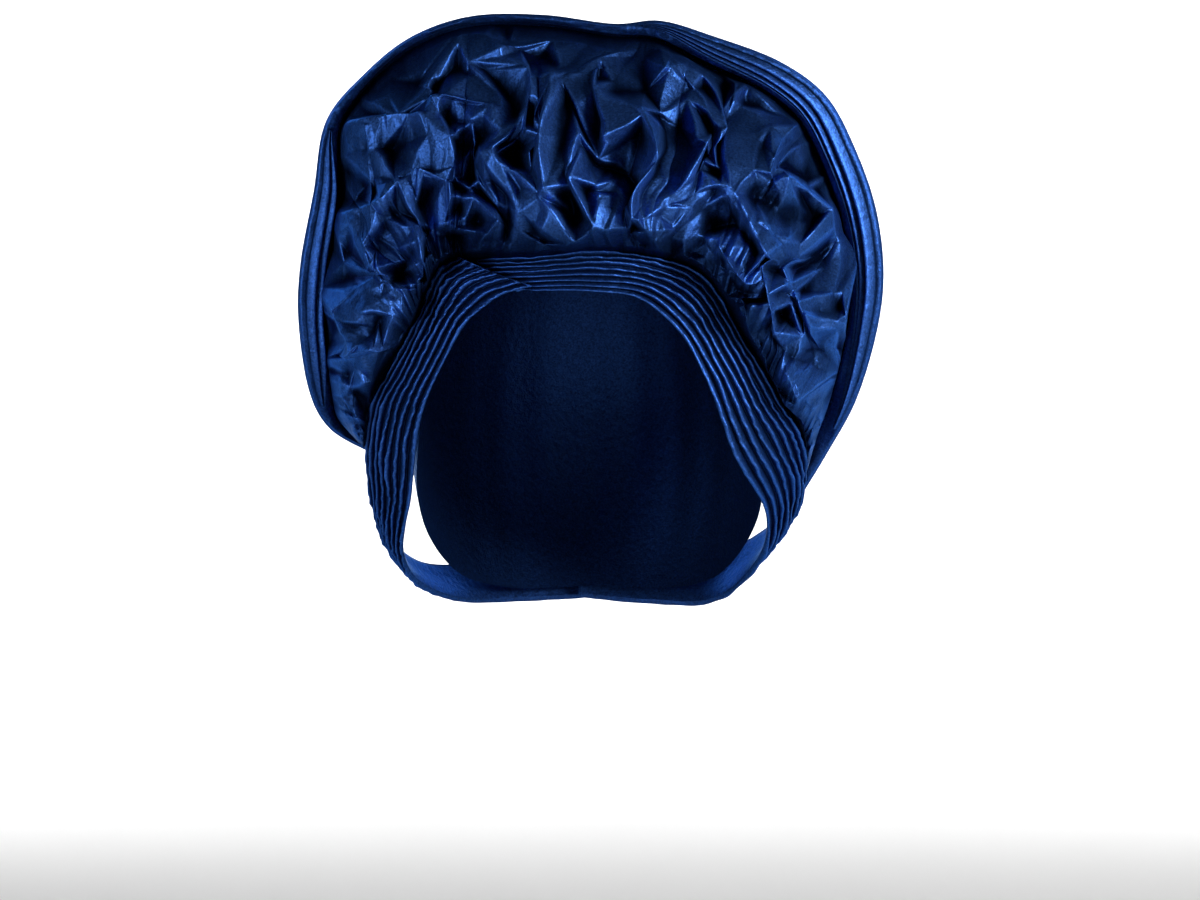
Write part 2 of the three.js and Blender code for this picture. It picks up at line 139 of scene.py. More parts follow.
# The ruffles
RUFFLE_TUCK = 0.6
RUFFLE_EASE = 1.5
RUFFLE_PUFF = 14
RUFFLE_SINK = 4
RUFFLE_COLUMNS = 265
RUFFLE_LINES = 235
FOLD_RISE = 16
FOLD_SPREAD = 1.25
FOLD_LEAST = 4.5
FINE_SPREAD = 1.3
FINE_LEAST = 3.5
WRAP_FADE = 0.03
RIM_FADE = 0.05
RIM_DIP = 7
RIM_DIP_POWER = 8
FOLD_LEAN = 0.3
FOLD_LEAN_POWER = 6
FOLD_HOLLOW = 1.1
CREST_ROUND = 0.3

# How far the straight crests are bent, and the waves that bend them: the length, and how much a wave of the
# last length shifts it.
FOLD_WARP = 1.6
WARP_ACROSS = (8.3, 1.7, 14)
WARP_DOWN = (9.1, 1.4, 12)

# How much the smaller folds rise where they lie on the main ones, as a share of the rises in their rows.
FINE_SHARE = 0.8
LOOSE_SHARE = 0.7

# The flat facets between the crests: the spacing of their corners, how far the corners stray from an even
# height, and the height that they keep between the crests as a share of the folds' own.
FACET_SPACING = 11
FACET_STRAY = 2.6
VALLEY_SHARE = 0.5
CREST_CLEARANCE = 1.5
CREST_MERGE = 0.01
FACET_MARGIN = 20
FACET_SEED = 31
STREW_STRAY = 0.42

# The folds strewn among the placed ones, and the ranges of their rim rows, their places on the way from the
# wraps to the rim, their half lengths, their falls to each side and their shares of the rise.
LOOSE_FOLDS = 95
LOOSE_SEED = 21
LOOSE_TURN = 0.75
LOOSE_ROWS = (1.2, 20.8)
LOOSE_PLACES = (0.05, 0.97)
LOOSE_HALVES = (8, 20)
LOOSE_GENTLE = (9, 18)
LOOSE_STEEP = (3, 7)
LOOSE_RISES = (0.2, 0.7)

# The face edge of each wrap and its outer edge, from the crossing on the forehead to the nape.
WRAP_COLUMNS = ("around", "drop", "out_around", "out_drop", "in_lift", "out_lift")
RIGHT_WRAP = [
    (-26, 0.238, -50, 0.158, 0, 0.22),
    (-19, 0.225, -24, 0.157, 0, 0.3),
    (0, 0.23, 4, 0.143, 0, 0.36),
    (17, 0.247, 25, 0.154, 0, 0.43),
    (30, 0.331, 41, 0.195, 0, 0.5),
    (38, 0.433, 50, 0.352, 0, 0.6),
    (44, 0.545, 61, 0.483, 0, 0.72),
    (51, 0.635, 73, 0.556, 0, 0.8),
    (62, 0.702, 84, 0.63, 0.02, 0.85),
    (84, 0.787, 97, 0.73, 0.08, 0.92),
    (106, 0.89, 116, 0.8, 0.3, 0.9),
    (130, 0.985, 136, 0.87, 0.42, 0.7),
    (157, 0.99, 159, 0.86, 0.12, 0.4),
    (184, 0.975, 184, 0.85, 0, 0.12),
]
LEFT_WRAP = [
    (-19, 0.224, -52, 0.152, 0.34, 0.7),
    (-31, 0.246, -59, 0.18, 0.33, 0.68),
    (-42, 0.292, -61, 0.24, 0.12, 0.62),
    (-50, 0.37, -62, 0.32, 0.04, 0.66),
    (-58, 0.46, -68, 0.405, 0, 0.76),
    (-64, 0.545, -79, 0.483, 0, 0.88),
    (-71, 0.64, -87, 0.618, 0, 1.05),
    (-79, 0.725, -92, 0.71, 0.05, 1.1),
    (-88, 0.798, -98, 0.775, 0.3, 1.1),
    (-96, 0.868, -106, 0.838, 0.6, 1.1),
    (-108, 0.935, -120, 0.895, 0.72, 1),
    (-128, 0.982, -138, 0.9, 0.55, 0.8),
    (-156, 0.985, -160, 0.87, 0.42, 0.6),
    (-184, 0.975, -184, 0.85, 0.42, 0.54),
]

# The hood's free edge, once round the head from the middle of the forehead.
HOOD_COLUMNS = ("around", "drop")
HOOD_EDGE = [
    (0, 0.212),
    (20, 0.23),
    (34, 0.325),
    (42, 0.425),
    (49, 0.538),
    (57, 0.622),
    (72, 0.695),
    (92, 0.785),
    (120, 0.93),
    (150, 0.965),
    (180, 0.96),
    (210, 0.965),
    (240, 0.93),
    (262, 0.83),
    (275, 0.735),
    (285, 0.645),
    (292, 0.55),
    (299, 0.46),
    (307, 0.365),
    (315, 0.285),
    (326, 0.235),
    (341, 0.212),
    (360, 0.212),
]

# The fan's rim from the lower left, over the top, to the lower right.
RIM_COLUMNS = ("across", "down", "lip", "back", "side", "foot")
RIM = [
    (0.123, 0.74, 0.015, 0.95, -1, 0.5),
    (0.055, 0.7, 0.02, 0.6, -1, 0.46),
    (0.02, 0.635, 0.036, 0.2, -1, 0.417),
    (0.003, 0.52, 0.042, -0.15, -1, 0.333),
    (0.007, 0.42, 0.044, -0.4, -1, 0.25),
    (0.03, 0.3, 0.04, -0.65, -1, 0.2),
    (0.052, 0.18, 0.025, -0.85, -1, 0.16),
    (0.12, 0.098, 0.015, -1, -1, 0.09),
    (0.2, 0.037, 0.013, -1.15, -1, 0.03),
    (0.3, 0.004, 0.013, -1.25, -1, 0),
    (0.42, 0.002, 0.015, -1.3, 1, 0.05),
    (0.54, 0.017, 0.018, -1.3, 1, 0.133),
    (0.62, 0.012, 0.03, -1.28, 1, 0.19),
    (0.71, 0.038, 0.045, -1.22, 1, 0.25),
    (0.82, 0.079, 0.055, -1.1, 1, 0.317),
    (0.9, 0.137, 0.06, -0.95, 1, 0.358),
    (0.95, 0.225, 0.06, -0.75, 1, 0.4),
    (0.987, 0.33, 0.06, -0.55, 1, 0.433),
    (1, 0.44, 0.056, -0.35, 1, 0.483),
    (0.988, 0.54, 0.05, -0.1, 1, 0.525),
    (0.955, 0.65, 0.042, 0.2, 1, 0.575),
    (0.91, 0.735, 0.03, 0.6, 1, 0.65),
    (0.865, 0.81, 0.02, 0.95, 1, 0.733),
]
RIM_ROWS = len(RIM) - 1

# The ruffle's lobes: the name, the rows of the rim where each starts and ends, and how far it swells at its
# first seam, in the middle and at its last seam.
LOBES = [
    ("ruffle_lower_left", 1, 5.3, 0, 0.8, 0.45),
    ("ruffle_upper_left", 5.3, 9, 0.45, 0.75, 0.55),
    ("ruffle_centre", 9, 12.6, 0.55, 1.2, 0.6),
    ("ruffle_upper_right", 12.6, 17, 0.6, 0.85, 0.5),
    ("ruffle_lower_right", 17, 21, 0.5, 0.85, 0),
]

# The main folds: from one point to another in shares of the tie's width and height, the rise, and how
# far the cloth falls away on the left and right of someone who walks along the crest.
FOLD_COLUMNS = ("from_across", "from_down", "to_across", "to_down", "rise", "fall_left", "fall_right")
MAIN_FOLDS = [
    (0.373, 0.09, 0.378, 0.2, 1, 0.02, 0.07),
    (0.39, 0.11, 0.41, 0.22, 0.8, 0.02, 0.03),
    (0.448, 0.12, 0.437, 0.31, 1.1, 0.04, 0.035),
    (0.455, 0.11, 0.53, 0.24, 0.8, 0.035, 0.02),
    (0.525, 0.13, 0.532, 0.21, 0.9, 0.03, 0.03),
    (0.56, 0.185, 0.6, 0.28, 1.2, 0.05, 0.06),
    (0.6, 0.28, 0.592, 0.35, 1.1, 0.06, 0.03),
    (0.685, 0.21, 0.66, 0.29, 1, 0.02, 0.07),
    (0.483, 0.275, 0.518, 0.365, 0.9, 0.03, 0.03),
    (0.335, 0.23, 0.39, 0.33, 0.9, 0.04, 0.025),
    (0.39, 0.33, 0.47, 0.39, 0.7, 0.03, 0.02),
    (0.36, 0.035, 0.5, 0.035, 0.5, 0.03, 0.03),
    (0.46, 0.1, 0.55, 0.05, 0.7, 0.04, 0.035),
    (0.3, 0.03, 0.26, 0.12, 0.4, 0.05, 0.04),
    (0.13, 0.135, 0.195, 0.185, 0.6, 0.04, 0.04),
    (0.105, 0.19, 0.215, 0.19, 0.75, 0.02, 0.07),
    (0.225, 0.165, 0.262, 0.255, 0.8, 0.03, 0.04),
    (0.23, 0.162, 0.325, 0.167, 0.8, 0.015, 0.05),
    (0.18, 0.275, 0.27, 0.255, 0.7, 0.03, 0.03),
    (0.09, 0.35, 0.19, 0.305, 0.8, 0.025, 0.05),
    (0.213, 0.288, 0.265, 0.308, 0.9, 0.02, 0.06),
    (0.3, 0.31, 0.335, 0.365, 0.7, 0.02, 0.04),
    (0.193, 0.365, 0.203, 0.45, 0.9, 0.02, 0.05),
    (0.128, 0.375, 0.15, 0.42, 0.7, 0.03, 0.03),
    (0.135, 0.45, 0.18, 0.49, 0.8, 0.03, 0.05),
    (0.05, 0.455, 0.09, 0.52, 0.7, 0.04, 0.03),
    (0.09, 0.555, 0.145, 0.555, 0.8, 0.03, 0.02),
    (0.05, 0.6, 0.145, 0.585, 0.9, 0.02, 0.05),
    (0.63, 0.093, 0.685, 0.18, 0.6, 0.03, 0.04),
    (0.66, 0.09, 0.725, 0.2, 0.7, 0.02, 0.04),
    (0.756, 0.148, 0.732, 0.265, 0.8, 0.03, 0.03),
    (0.76, 0.125, 0.86, 0.155, 0.5, 0.02, 0.04),
    (0.825, 0.19, 0.785, 0.265, 0.9, 0.03, 0.06),
    (0.73, 0.285, 0.81, 0.395, 1, 0.05, 0.03),
    (0.825, 0.295, 0.9, 0.35, 0.9, 0.03, 0.05),
    (0.8, 0.345, 0.86, 0.405, 0.9, 0.03, 0.03),
    (0.735, 0.395, 0.775, 0.445, 0.9, 0.025, 0.025),
    (0.755, 0.45, 0.805, 0.465, 0.7, 0.02, 0.03),
    (0.73, 0.5, 0.805, 0.51, 0.7, 0.025, 0.03),
    (0.812, 0.43, 0.82, 0.545, 1, 0.05, 0.02),
    (0.845, 0.42, 0.89, 0.535, 1, 0.035, 0.03),
    (0.93, 0.4, 0.915, 0.53, 1, 0.02, 0.035),
    (0.83, 0.59, 0.865, 0.635, 0.9, 0.03, 0.03),
    (0.8, 0.62, 0.86, 0.655, 0.7, 0.02, 0.02),
]

# The smaller folds that lie among the main ones, in the same columns.
FINE_FOLDS = [
    (0.303, 0.092, 0.335, 0.14, 0.6, 0.02, 0.03),
    (0.335, 0.14, 0.34, 0.2, 0.6, 0.015, 0.03),
    (0.303, 0.09, 0.37, 0.086, 0.5, 0.01, 0.03),
    (0.295, 0.188, 0.32, 0.28, 0.6, 0.02, 0.02),
    (0.375, 0.105, 0.41, 0.175, 0.6, 0.02, 0.02),
    (0.44, 0.11, 0.42, 0.175, 0.7, 0.02, 0.02),
    (0.435, 0.14, 0.403, 0.28, 0.7, 0.015, 0.03),
    (0.488, 0.2, 0.47, 0.3, 0.8, 0.03, 0.015),
    (0.55, 0.16, 0.535, 0.205, 0.6, 0.02, 0.02),
    (0.49, 0.22, 0.518, 0.29, 0.6, 0.02, 0.02),
    (0.345, 0.22, 0.365, 0.255, 0.6, 0.02, 0.02),
    (0.343, 0.32, 0.38, 0.36, 0.6, 0.02, 0.015),
    (0.38, 0.36, 0.43, 0.392, 0.6, 0.02, 0.015),
    (0.36, 0.24, 0.38, 0.27, 0.6, 0.02, 0.02),
    (0.38, 0.27, 0.42, 0.32, 0.7, 0.02, 0.02),
    (0.42, 0.32, 0.48, 0.39, 0.7, 0.02, 0.02),
    (0.57, 0.17, 0.58, 0.22, 0.7, 0.02, 0.03),
    (0.58, 0.22, 0.595, 0.27, 0.8, 0.03, 0.03),
    (0.665, 0.215, 0.69, 0.22, 0.6, 0.015, 0.03),
    (0.688, 0.25, 0.68, 0.27, 0.6, 0.02, 0.03),
    (0.523, 0.305, 0.53, 0.37, 0.7, 0.015, 0.02),
    (0.523, 0.303, 0.553, 0.31, 0.7, 0.01, 0.02),
    (0.56, 0.315, 0.575, 0.365, 0.7, 0.02, 0.015),
    (0.54, 0.285, 0.57, 0.33, 0.6, 0.02, 0.02),
    (0.57, 0.373, 0.64, 0.367, 0.7, 0.01, 0.025),
    (0.64, 0.367, 0.61, 0.385, 0.5, 0.02, 0.02),
    (0.645, 0.33, 0.69, 0.35, 0.6, 0.02, 0.02),
    (0.62, 0.385, 0.645, 0.368, 0.6, 0.015, 0.02),
    (0.31, 0.01, 0.22, 0.12, 0.35, 0.03, 0.03),
    (0.28, 0.03, 0.23, 0.1, 0.3, 0.03, 0.03),
    (0.33, 0.004, 0.347, 0.058, 0.5, 0.02, 0.03),
    (0.36, 0.05, 0.44, 0.044, 0.4, 0.01, 0.03),
    (0.445, 0.098, 0.53, 0.055, 0.4, 0.02, 0.02),
    (0.128, 0.135, 0.16, 0.13, 0.4, 0.01, 0.03),
    (0.16, 0.13, 0.19, 0.19, 0.4, 0.02, 0.02),
    (0.103, 0.185, 0.137, 0.2, 0.4, 0.01, 0.03),
    (0.137, 0.2, 0.13, 0.28, 0.4, 0.02, 0.04),
    (0.22, 0.16, 0.27, 0.165, 0.4, 0.01, 0.02),
    (0.207, 0.185, 0.22, 0.22, 0.5, 0.02, 0.02),
    (0.22, 0.22, 0.2, 0.26, 0.5, 0.02, 0.02),
    (0.178, 0.278, 0.2, 0.26, 0.5, 0.015, 0.02),
    (0.26, 0.258, 0.295, 0.3, 0.5, 0.015, 0.02),
    (0.14, 0.34, 0.17, 0.315, 0.6, 0.02, 0.02),
    (0.08, 0.38, 0.12, 0.345, 0.6, 0.015, 0.03),
    (0.21, 0.285, 0.21, 0.36, 0.6, 0.02, 0.03),
    (0.27, 0.328, 0.257, 0.365, 0.5, 0.015, 0.015),
    (0.3, 0.32, 0.33, 0.36, 0.5, 0.015, 0.02),
    (0.27, 0.373, 0.345, 0.386, 0.6, 0.01, 0.02),
    (0.3, 0.403, 0.375, 0.392, 0.5, 0.01, 0.015),
    (0.128, 0.373, 0.155, 0.35, 0.6, 0.015, 0.02),
    (0.155, 0.35, 0.185, 0.363, 0.6, 0.01, 0.03),
    (0.127, 0.375, 0.15, 0.41, 0.6, 0.02, 0.02),
    (0.188, 0.363, 0.198, 0.42, 0.7, 0.01, 0.03),
    (0.198, 0.465, 0.23, 0.463, 0.6, 0.015, 0.02),
    (0.145, 0.493, 0.185, 0.518, 0.6, 0.02, 0.02),
    (0.182, 0.48, 0.22, 0.49, 0.6, 0.01, 0.03),
    (0.23, 0.41, 0.27, 0.433, 0.6, 0.01, 0.02),
    (0.07, 0.49, 0.112, 0.47, 0.5, 0.01, 0.03),
    (0.112, 0.47, 0.097, 0.515, 0.5, 0.02, 0.02),
    (0.1, 0.525, 0.053, 0.585, 0.5, 0.02, 0.02),
    (0.085, 0.56, 0.11, 0.545, 0.6, 0.01, 0.02),
    (0.11, 0.545, 0.148, 0.57, 0.6, 0.01, 0.02),
    (0.043, 0.623, 0.104, 0.634, 0.5, 0.015, 0.01),
    (0.104, 0.634, 0.14, 0.622, 0.5, 0.015, 0.01),
    (0.06, 0.65, 0.115, 0.655, 0.4, 0.015, 0.02),
    (0.04, 0.66, 0.097, 0.702, 0.4, 0.02, 0.02),
    (0.625, 0.095, 0.66, 0.14, 0.5, 0.02, 0.02),
    (0.66, 0.14, 0.683, 0.17, 0.5, 0.02, 0.02),
    (0.648, 0.09, 0.68, 0.12, 0.5, 0.015, 0.02),
    (0.72, 0.18, 0.723, 0.26, 0.6, 0.02, 0.02),
    (0.727, 0.28, 0.67, 0.318, 0.7, 0.02, 0.015),
    (0.67, 0.318, 0.6, 0.353, 0.7, 0.02, 0.015),
    (0.62, 0.055, 0.71, 0.096, 0.5, 0.02, 0.02),
    (0.71, 0.096, 0.757, 0.146, 0.5, 0.02, 0.02),
    (0.765, 0.12, 0.83, 0.135, 0.4, 0.01, 0.02),
    (0.765, 0.155, 0.82, 0.17, 0.5, 0.015, 0.02),
    (0.82, 0.17, 0.86, 0.186, 0.5, 0.015, 0.02),
    (0.76, 0.205, 0.8, 0.186, 0.6, 0.015, 0.02),
    (0.825, 0.188, 0.788, 0.266, 0.7, 0.01, 0.03),
    (0.84, 0.225, 0.88, 0.21, 0.5, 0.015, 0.02),
    (0.855, 0.23, 0.81, 0.273, 0.6, 0.015, 0.02),
    (0.74, 0.24, 0.8, 0.295, 0.6, 0.02, 0.02),
    (0.775, 0.27, 0.828, 0.298, 0.6, 0.01, 0.02),
    (0.74, 0.28, 0.785, 0.355, 0.7, 0.02, 0.02),
    (0.785, 0.355, 0.817, 0.405, 0.7, 0.02, 0.02),
    (0.785, 0.343, 0.853, 0.38, 0.6, 0.01, 0.02),
    (0.828, 0.305, 0.898, 0.34, 0.6, 0.015, 0.02),
    (0.898, 0.34, 0.91, 0.385, 0.6, 0.015, 0.02),
    (0.69, 0.385, 0.735, 0.45, 0.7, 0.012, 0.015),
    (0.725, 0.385, 0.77, 0.445, 0.7, 0.012, 0.015),
    (0.65, 0.385, 0.695, 0.395, 0.5, 0.01, 0.015),
    (0.67, 0.42, 0.7, 0.45, 0.6, 0.01, 0.015),
    (0.752, 0.445, 0.76, 0.475, 0.6, 0.015, 0.015),
    (0.76, 0.476, 0.805, 0.463, 0.6, 0.01, 0.015),
    (0.72, 0.48, 0.805, 0.485, 0.6, 0.008, 0.012),
    (0.74, 0.51, 0.8, 0.505, 0.6, 0.008, 0.012),
    (0.75, 0.53, 0.8, 0.522, 0.6, 0.008, 0.012),
    (0.76, 0.545, 0.797, 0.535, 0.6, 0.008, 0.012),
    (0.77, 0.565, 0.8, 0.585, 0.6, 0.008, 0.012),
    (0.81, 0.42, 0.82, 0.548, 0.8, 0.02, 0.015),
    (0.845, 0.48, 0.86, 0.55, 0.7, 0.015, 0.02),
    (0.84, 0.425, 0.865, 0.47, 0.7, 0.02, 0.015),
    (0.865, 0.47, 0.89, 0.525, 0.7, 0.02, 0.015),
    (0.89, 0.525, 0.942, 0.51, 0.6, 0.015, 0.015),
    (0.825, 0.57, 0.86, 0.64, 0.7, 0.015, 0.02),
    (0.8, 0.625, 0.845, 0.65, 0.6, 0.015, 0.015),
    (0.86, 0.645, 0.92, 0.605, 0.5, 0.01, 0.015),
    (0.82, 0.66, 0.86, 0.68, 0.5, 0.015, 0.015),
]

# The small crumples over the whole of the ruffles: the spacing and the rise of each size.
CRUMPLES = [
    (23, 4),
    (9, 1.7),
    (5, 0.45),
]
CRUMPLE_STRETCH = 1.5
CRUMPLE_MERGE = 0.001
CRUMPLE_SEED = 7

# The gathers that run out from the wraps: how many to a row of the rim, their rise, how far out they are
# highest as a share of the way to the rim, and how much they wander, in folds.
GATHERS = [
    (2.6, 3.2, 0.05, 0.5),
    (1.15, 3.5, 0.25, 0.6),
]
GATHER_STEEP = 0.3
GATHER_SPREAD = 0.3
GATHER_STRAY = 0.25
GATHER_WANDER_SEED = 60
GATHER_STRAY_SEED = 70

# The slow drift that makes the gathers wander: the number of its waves, their turn in radians for each row
# of the rim and over the way out, and the size of their sum.
DRIFT_WAVES = 6
DRIFT_PER_ROW = (0.6, 2.4)
DRIFT_OUT = (-5, 5)
DRIFT_SIZE = 2.4

# How dark the ruffles are painted near the wraps and near the rim, as painted shadow where they meet, at
# shares of the way from one to the other.
EDGE_SHADE_AT = (0, 0.07, 0.17, 0.88, 1)
EDGE_SHADES = (0.05, 0.25, 1, 1, 0.3)

# How the height above the cloth around turns into painted shade and light: over a wide window for the depth
# of the folds, painted dark in their bottoms, and over a narrow one for the creases, painted as highlights.
DEPTH_WINDOW = 20
DEPTH_FOR_WHOLE = 9
DEPTH_LIMITS = (-0.5, 0.12)
CREASE_WINDOW = 3
CREASE_GAIN = 0.9
CREASE_LEAST = 0.12
CREASE_LIMITS = (0, 0.25)
PLAIN_SHADE = 0.5

# The length along the rim between two of its rows, and that of the ruffles from the wraps to the rim.
RIM_ROW_LENGTH = 26
RUFFLE_LENGTH = 80


def rows_at(table, columns, share):
    """Every column of a table at shares of its length, on smooth curves."""
    rows = np.array(table, float)
    spans = len(rows) - 1
    place = np.clip(share, 0, 1) * spans
    start = np.minimum(np.floor(place).astype(int), spans - 1)
    step = (place - start)[..., None]
    a, b, c, d = (rows[np.clip(start + k, 0, spans)] for k in (-1, 0, 1, 2))
    slope_in = (c - a) / 2
    slope_out = (d - b) / 2
    s2 = step * step
    s3 = s2 * step
    found = (2 * s3 - 3 * s2 + 1) * b + (s3 - 2 * s2 + step) * slope_in
    found = found + (3 * s2 - 2 * s3) * c + (s3 - s2) * slope_out
    return {name: found[..., i] for i, name in enumerate(columns)}


def mix(a, b, share):
    """The value part of the way from a to b."""
    return a + (b - a) * share


def stack(x, y, z):
    """Points from three arrays of coordinates."""
    return np.stack(np.broadcast_arrays(x, y, z), axis=-1)


def on_head(around, height, lift):
    """Points on the form of the head, lifted off it."""
    tall = np.where(height < -CROWN_TO_TEMPLE, TEMPLE_TO_NECK, CROWN_TO_TEMPLE) + lift
    level = (height + CROWN_TO_TEMPLE) / tall
    girth = np.sqrt(np.maximum(0, 1 - level * level))
    turn = np.radians(around)
    x = (HEAD_WIDTH / 2 + lift) * girth * np.sin(turn)
    y = -(HEAD_LENGTH / 2 + lift) * girth * np.cos(turn)
    return stack(x, y, height)


def unit(vectors):
    """The vectors, each with a length of 1."""
    return vectors / np.maximum(np.linalg.norm(vectors, axis=-1, keepdims=True), 1e-9)


def grid_normals(grid):
    """The unit normals of a grid of points."""
    return unit(np.cross(np.gradient(grid, axis=0), np.gradient(grid, axis=1)))


def waves(along, seed, length):
    """A smooth uneven wave along a line, between about -1 and 1, with bumps of about the given length."""
    rng = np.random.default_rng(seed)
    total = np.zeros_like(along, dtype=float)
    for _ in range(WAVE_COUNT):
        own_length = length * rng.uniform(*WAVE_RANGE)
        total += np.sin(2 * np.pi * along / own_length + rng.uniform(0, 2 * np.pi))
    return total / math.sqrt(WAVE_COUNT)


def grid_mesh(name, grid, material, ring=False, shade=None):
    """A smooth mesh from a grid of points in millimetres. A ring joins the last line to the first one.

    shade is painted light and shade: 0 is painted shadow in the bottom of a fold, 0.5 plain cloth and 1 a
    painted highlight on a crease.
    """
    lines, wide = grid.shape[:2]
    index = np.arange(lines * wide).reshape(lines, wide)
    if ring:
        index = np.vstack([index, index[:1]])
    a = index[:-1, :-1].ravel()
    b = index[1:, :-1].ravel()
    c = index[1:, 1:].ravel()
    d = index[:-1, 1:].ravel()
    mesh = bpy.data.meshes.new(name)
    mesh.from_pydata((grid.reshape(-1, 3) * MM).tolist(), [], np.stack([a, b, c, d], axis=1).tolist())
    mesh.polygons.foreach_set("use_smooth", [True] * len(mesh.polygons))
    if shade is not None:
        layer = mesh.attributes.new("shade", "FLOAT", "POINT")
        layer.data.foreach_set("value", np.clip(shade, 0, 1).ravel().astype(np.float32))
    mesh.materials.append(material)
    made = bpy.data.objects.new(name + "_cloth", mesh)
    bpy.context.scene.collection.objects.link(made)
    return made


# Wraps and rim pleats

# The section of one pleat: how far across it, in pleats, and its height as a share of the rise.
PLEAT_SECTION = [
    (0.03, 0.3),
    (-0.09, 0.5),
    (-0.15, 0.74),
    (-0.12, 0.93),
    (-0.02, 1.02),
    (0.12, 0.97),
    (0.3, 0.8),
    (0.5, 0.56),
    (0.7, 0.32),
    (0.9, 0.08),
]
BACK_SHARES = (0.85, 0.6, 0.4, 0.15)
PLEAT_LEAD = 0.16
END_CLOSING = 0.85
NORMAL_COLUMNS = 12

# How the crests of the pleats pucker, from a level of the section upwards, in short ripples and long swells:
# the length, the shift across in pleats, and the rise and fall as a share of the height.
PUCKER_LEVEL = 0.4
RIPPLE = (9, 0.04, 0.1)
SWELL = (45, 0.12, 0.18)
# A crest that swells higher is painted a little paler, as a painted highlight.
SWELL_SHADE = 0.12
SWELL_SEED = 40

# The painted shade of the cloth at levels of a pleat's section, on the wraps and on the rim: painted shadow
# low down where a pleat tucks under the next, and a painted highlight on its crest. A pleat that lies flat is
# painted in shadow.
PLEAT_LEVELS = (0.1, 0.45, 0.85, 1.02)
WRAP_SHADES = (0.1, 0.35, 0.5, 0.85)
RIM_SHADES = (0.2, 0.55, 0.75, 0.9)
FLAT_PLEAT_SHADE = 0.12


def pleat_lines(along, length, rises, wall, rise, shades, pucker, seed):
    """The lines of the pleats' sections: how far across the strip each runs, its height and its painted
    shade.
    """
    count = len(rises)
    ripple_length, ripple_shift, ripple_rise = RIPPLE
    swell_length, swell_shift, swell_rise = SWELL
    across, height, shade = [], [], []
    for k, own_rises in enumerate(rises):
        ripple = waves(along * length, seed + k, ripple_length)
        swell = waves(along * length, seed + SWELL_SEED + k, swell_length)
        share = np.interp(along, np.linspace(0, 1, len(own_rises)), own_rises)
        for offset, level in PLEAT_SECTION:
            edge = max(0.0, level - PUCKER_LEVEL)
            shift = offset + pucker * edge * (ripple_shift * ripple + swell_shift * swell)
            uneven = 1 + pucker * edge * (ripple_rise * ripple + swell_rise * swell)
            line_shade = np.interp(level, PLEAT_LEVELS, shades) * (1 + SWELL_SHADE * swell)
            across.append((k + shift + PLEAT_LEAD) / (count + PLEAT_LEAD))
            height.append(wall + rise * share * level * uneven)
            shade.append(mix(FLAT_PLEAT_SHADE, line_shade, np.clip(share, 0, 1)))
    return np.stack(across, axis=1), np.stack(height, axis=1), np.stack(shade, axis=1)


def strip_normals(place, along, across):
    """The unit normals of a strip as it is without its pleats, at points across each of its steps."""
    last = NORMAL_COLUMNS - 1
    coarse = grid_normals(place(*np.meshgrid(along, np.linspace(0, 1, NORMAL_COLUMNS), indexing="ij")))
    position = np.clip(across, 0, 1) * last
    low = np.minimum(position.astype(int), last - 1)
    steps = np.arange(len(along))[:, None]
    return mix(coarse[steps, low], coarse[steps, low + 1], (position - low)[..., None])


def close_ends(grid, shade):
    """Folds the two ends of a sleeve down to its middle."""
    first, last = (mix(end, end.mean(axis=1, keepdims=True), END_CLOSING) for end in (grid[:1], grid[-1:]))
    return np.concatenate([first, grid, last]), np.concatenate([shade[:1], shade, shade[-1:]])


def pleated(place, length, steps, rises, wall, rise, shades, pucker, seed, turned):
    """A pleated strip as a closed sleeve of cloth: overlapping pleats in front and a plain back.

    rises holds a row for each pleat, with its rise at even steps along the strip as shares of the full rise.
    """
    along = np.linspace(0, 1, steps)
    across, height, shade = pleat_lines(along, length, rises, wall, rise, shades, pucker, seed)
    way = -1 if turned else 1
    normals = way * strip_normals(place, along, across)
    plain = place(np.repeat(along[:, None], across.shape[1], axis=1), across)
    top = plain + normals * height[..., None]
    back_along = np.repeat(along[:, None], len(BACK_SHARES), axis=1)
    back = place(back_along, np.tile(np.array(BACK_SHARES), (steps, 1)))
    grid = np.concatenate([top, back, top[:, :1]], axis=1)
    back_shade = np.full((steps, len(BACK_SHARES) + 1), PLAIN_SHADE)
    return close_ends(grid, np.concatenate([shade, back_shade], axis=1))


def wrap_point(rows, along, across, off=0.0):
    """Points on a wrap's inner face, or off it."""
    row = rows_at(rows, WRAP_COLUMNS, along)
    bulge = WRAP_BULGE * np.sin(np.pi * np.clip(across, 0, 1))
    lift = mix(row["in_lift"], row["out_lift"], across) * WRAP_LIFT + bulge
    around = mix(row["around"], row["out_around"], across)
    height = -mix(row["drop"], row["out_drop"], across) * BAND_REACH
    return on_head(around, height, CLOTH + SEAT + lift + off)


def make_wrap(name, rows, turned, seed, material):
    """One of the two pleated ends that run from the forehead round to the nape."""
    grid, shade = pleated(
        lambda along, across: wrap_point(rows, along, across),
        length=WRAP_LENGTH,
        steps=WRAP_STEPS,
        rises=[(1, 1)] * PLEAT_COUNT,
        wall=PLEAT_WALL,
        rise=PLEAT_RISE + PLEAT_EXTRA,
        shades=WRAP_SHADES,
        pucker=1.0,
        seed=seed,
        turned=turned,
    )
    return grid_mesh(name, grid, material, shade=shade)


# The rim and the fan

# The painted shade of the lines round the rim that aren't plain, counted from the cloth behind the hem: a
# painted highlight on the hem's edge, painted shadow on the hem beside it, and a painted highlight on the
# roll.
RIM_LINE_SHADES = {2: 0.75, 3: 0.3, 4: 0.3, 5: 0.3, 9: 0.7, 10: 0.85}

# How far to each side of a point the rim's direction is taken, as a share of the rim
RIM_STEP = 0.01


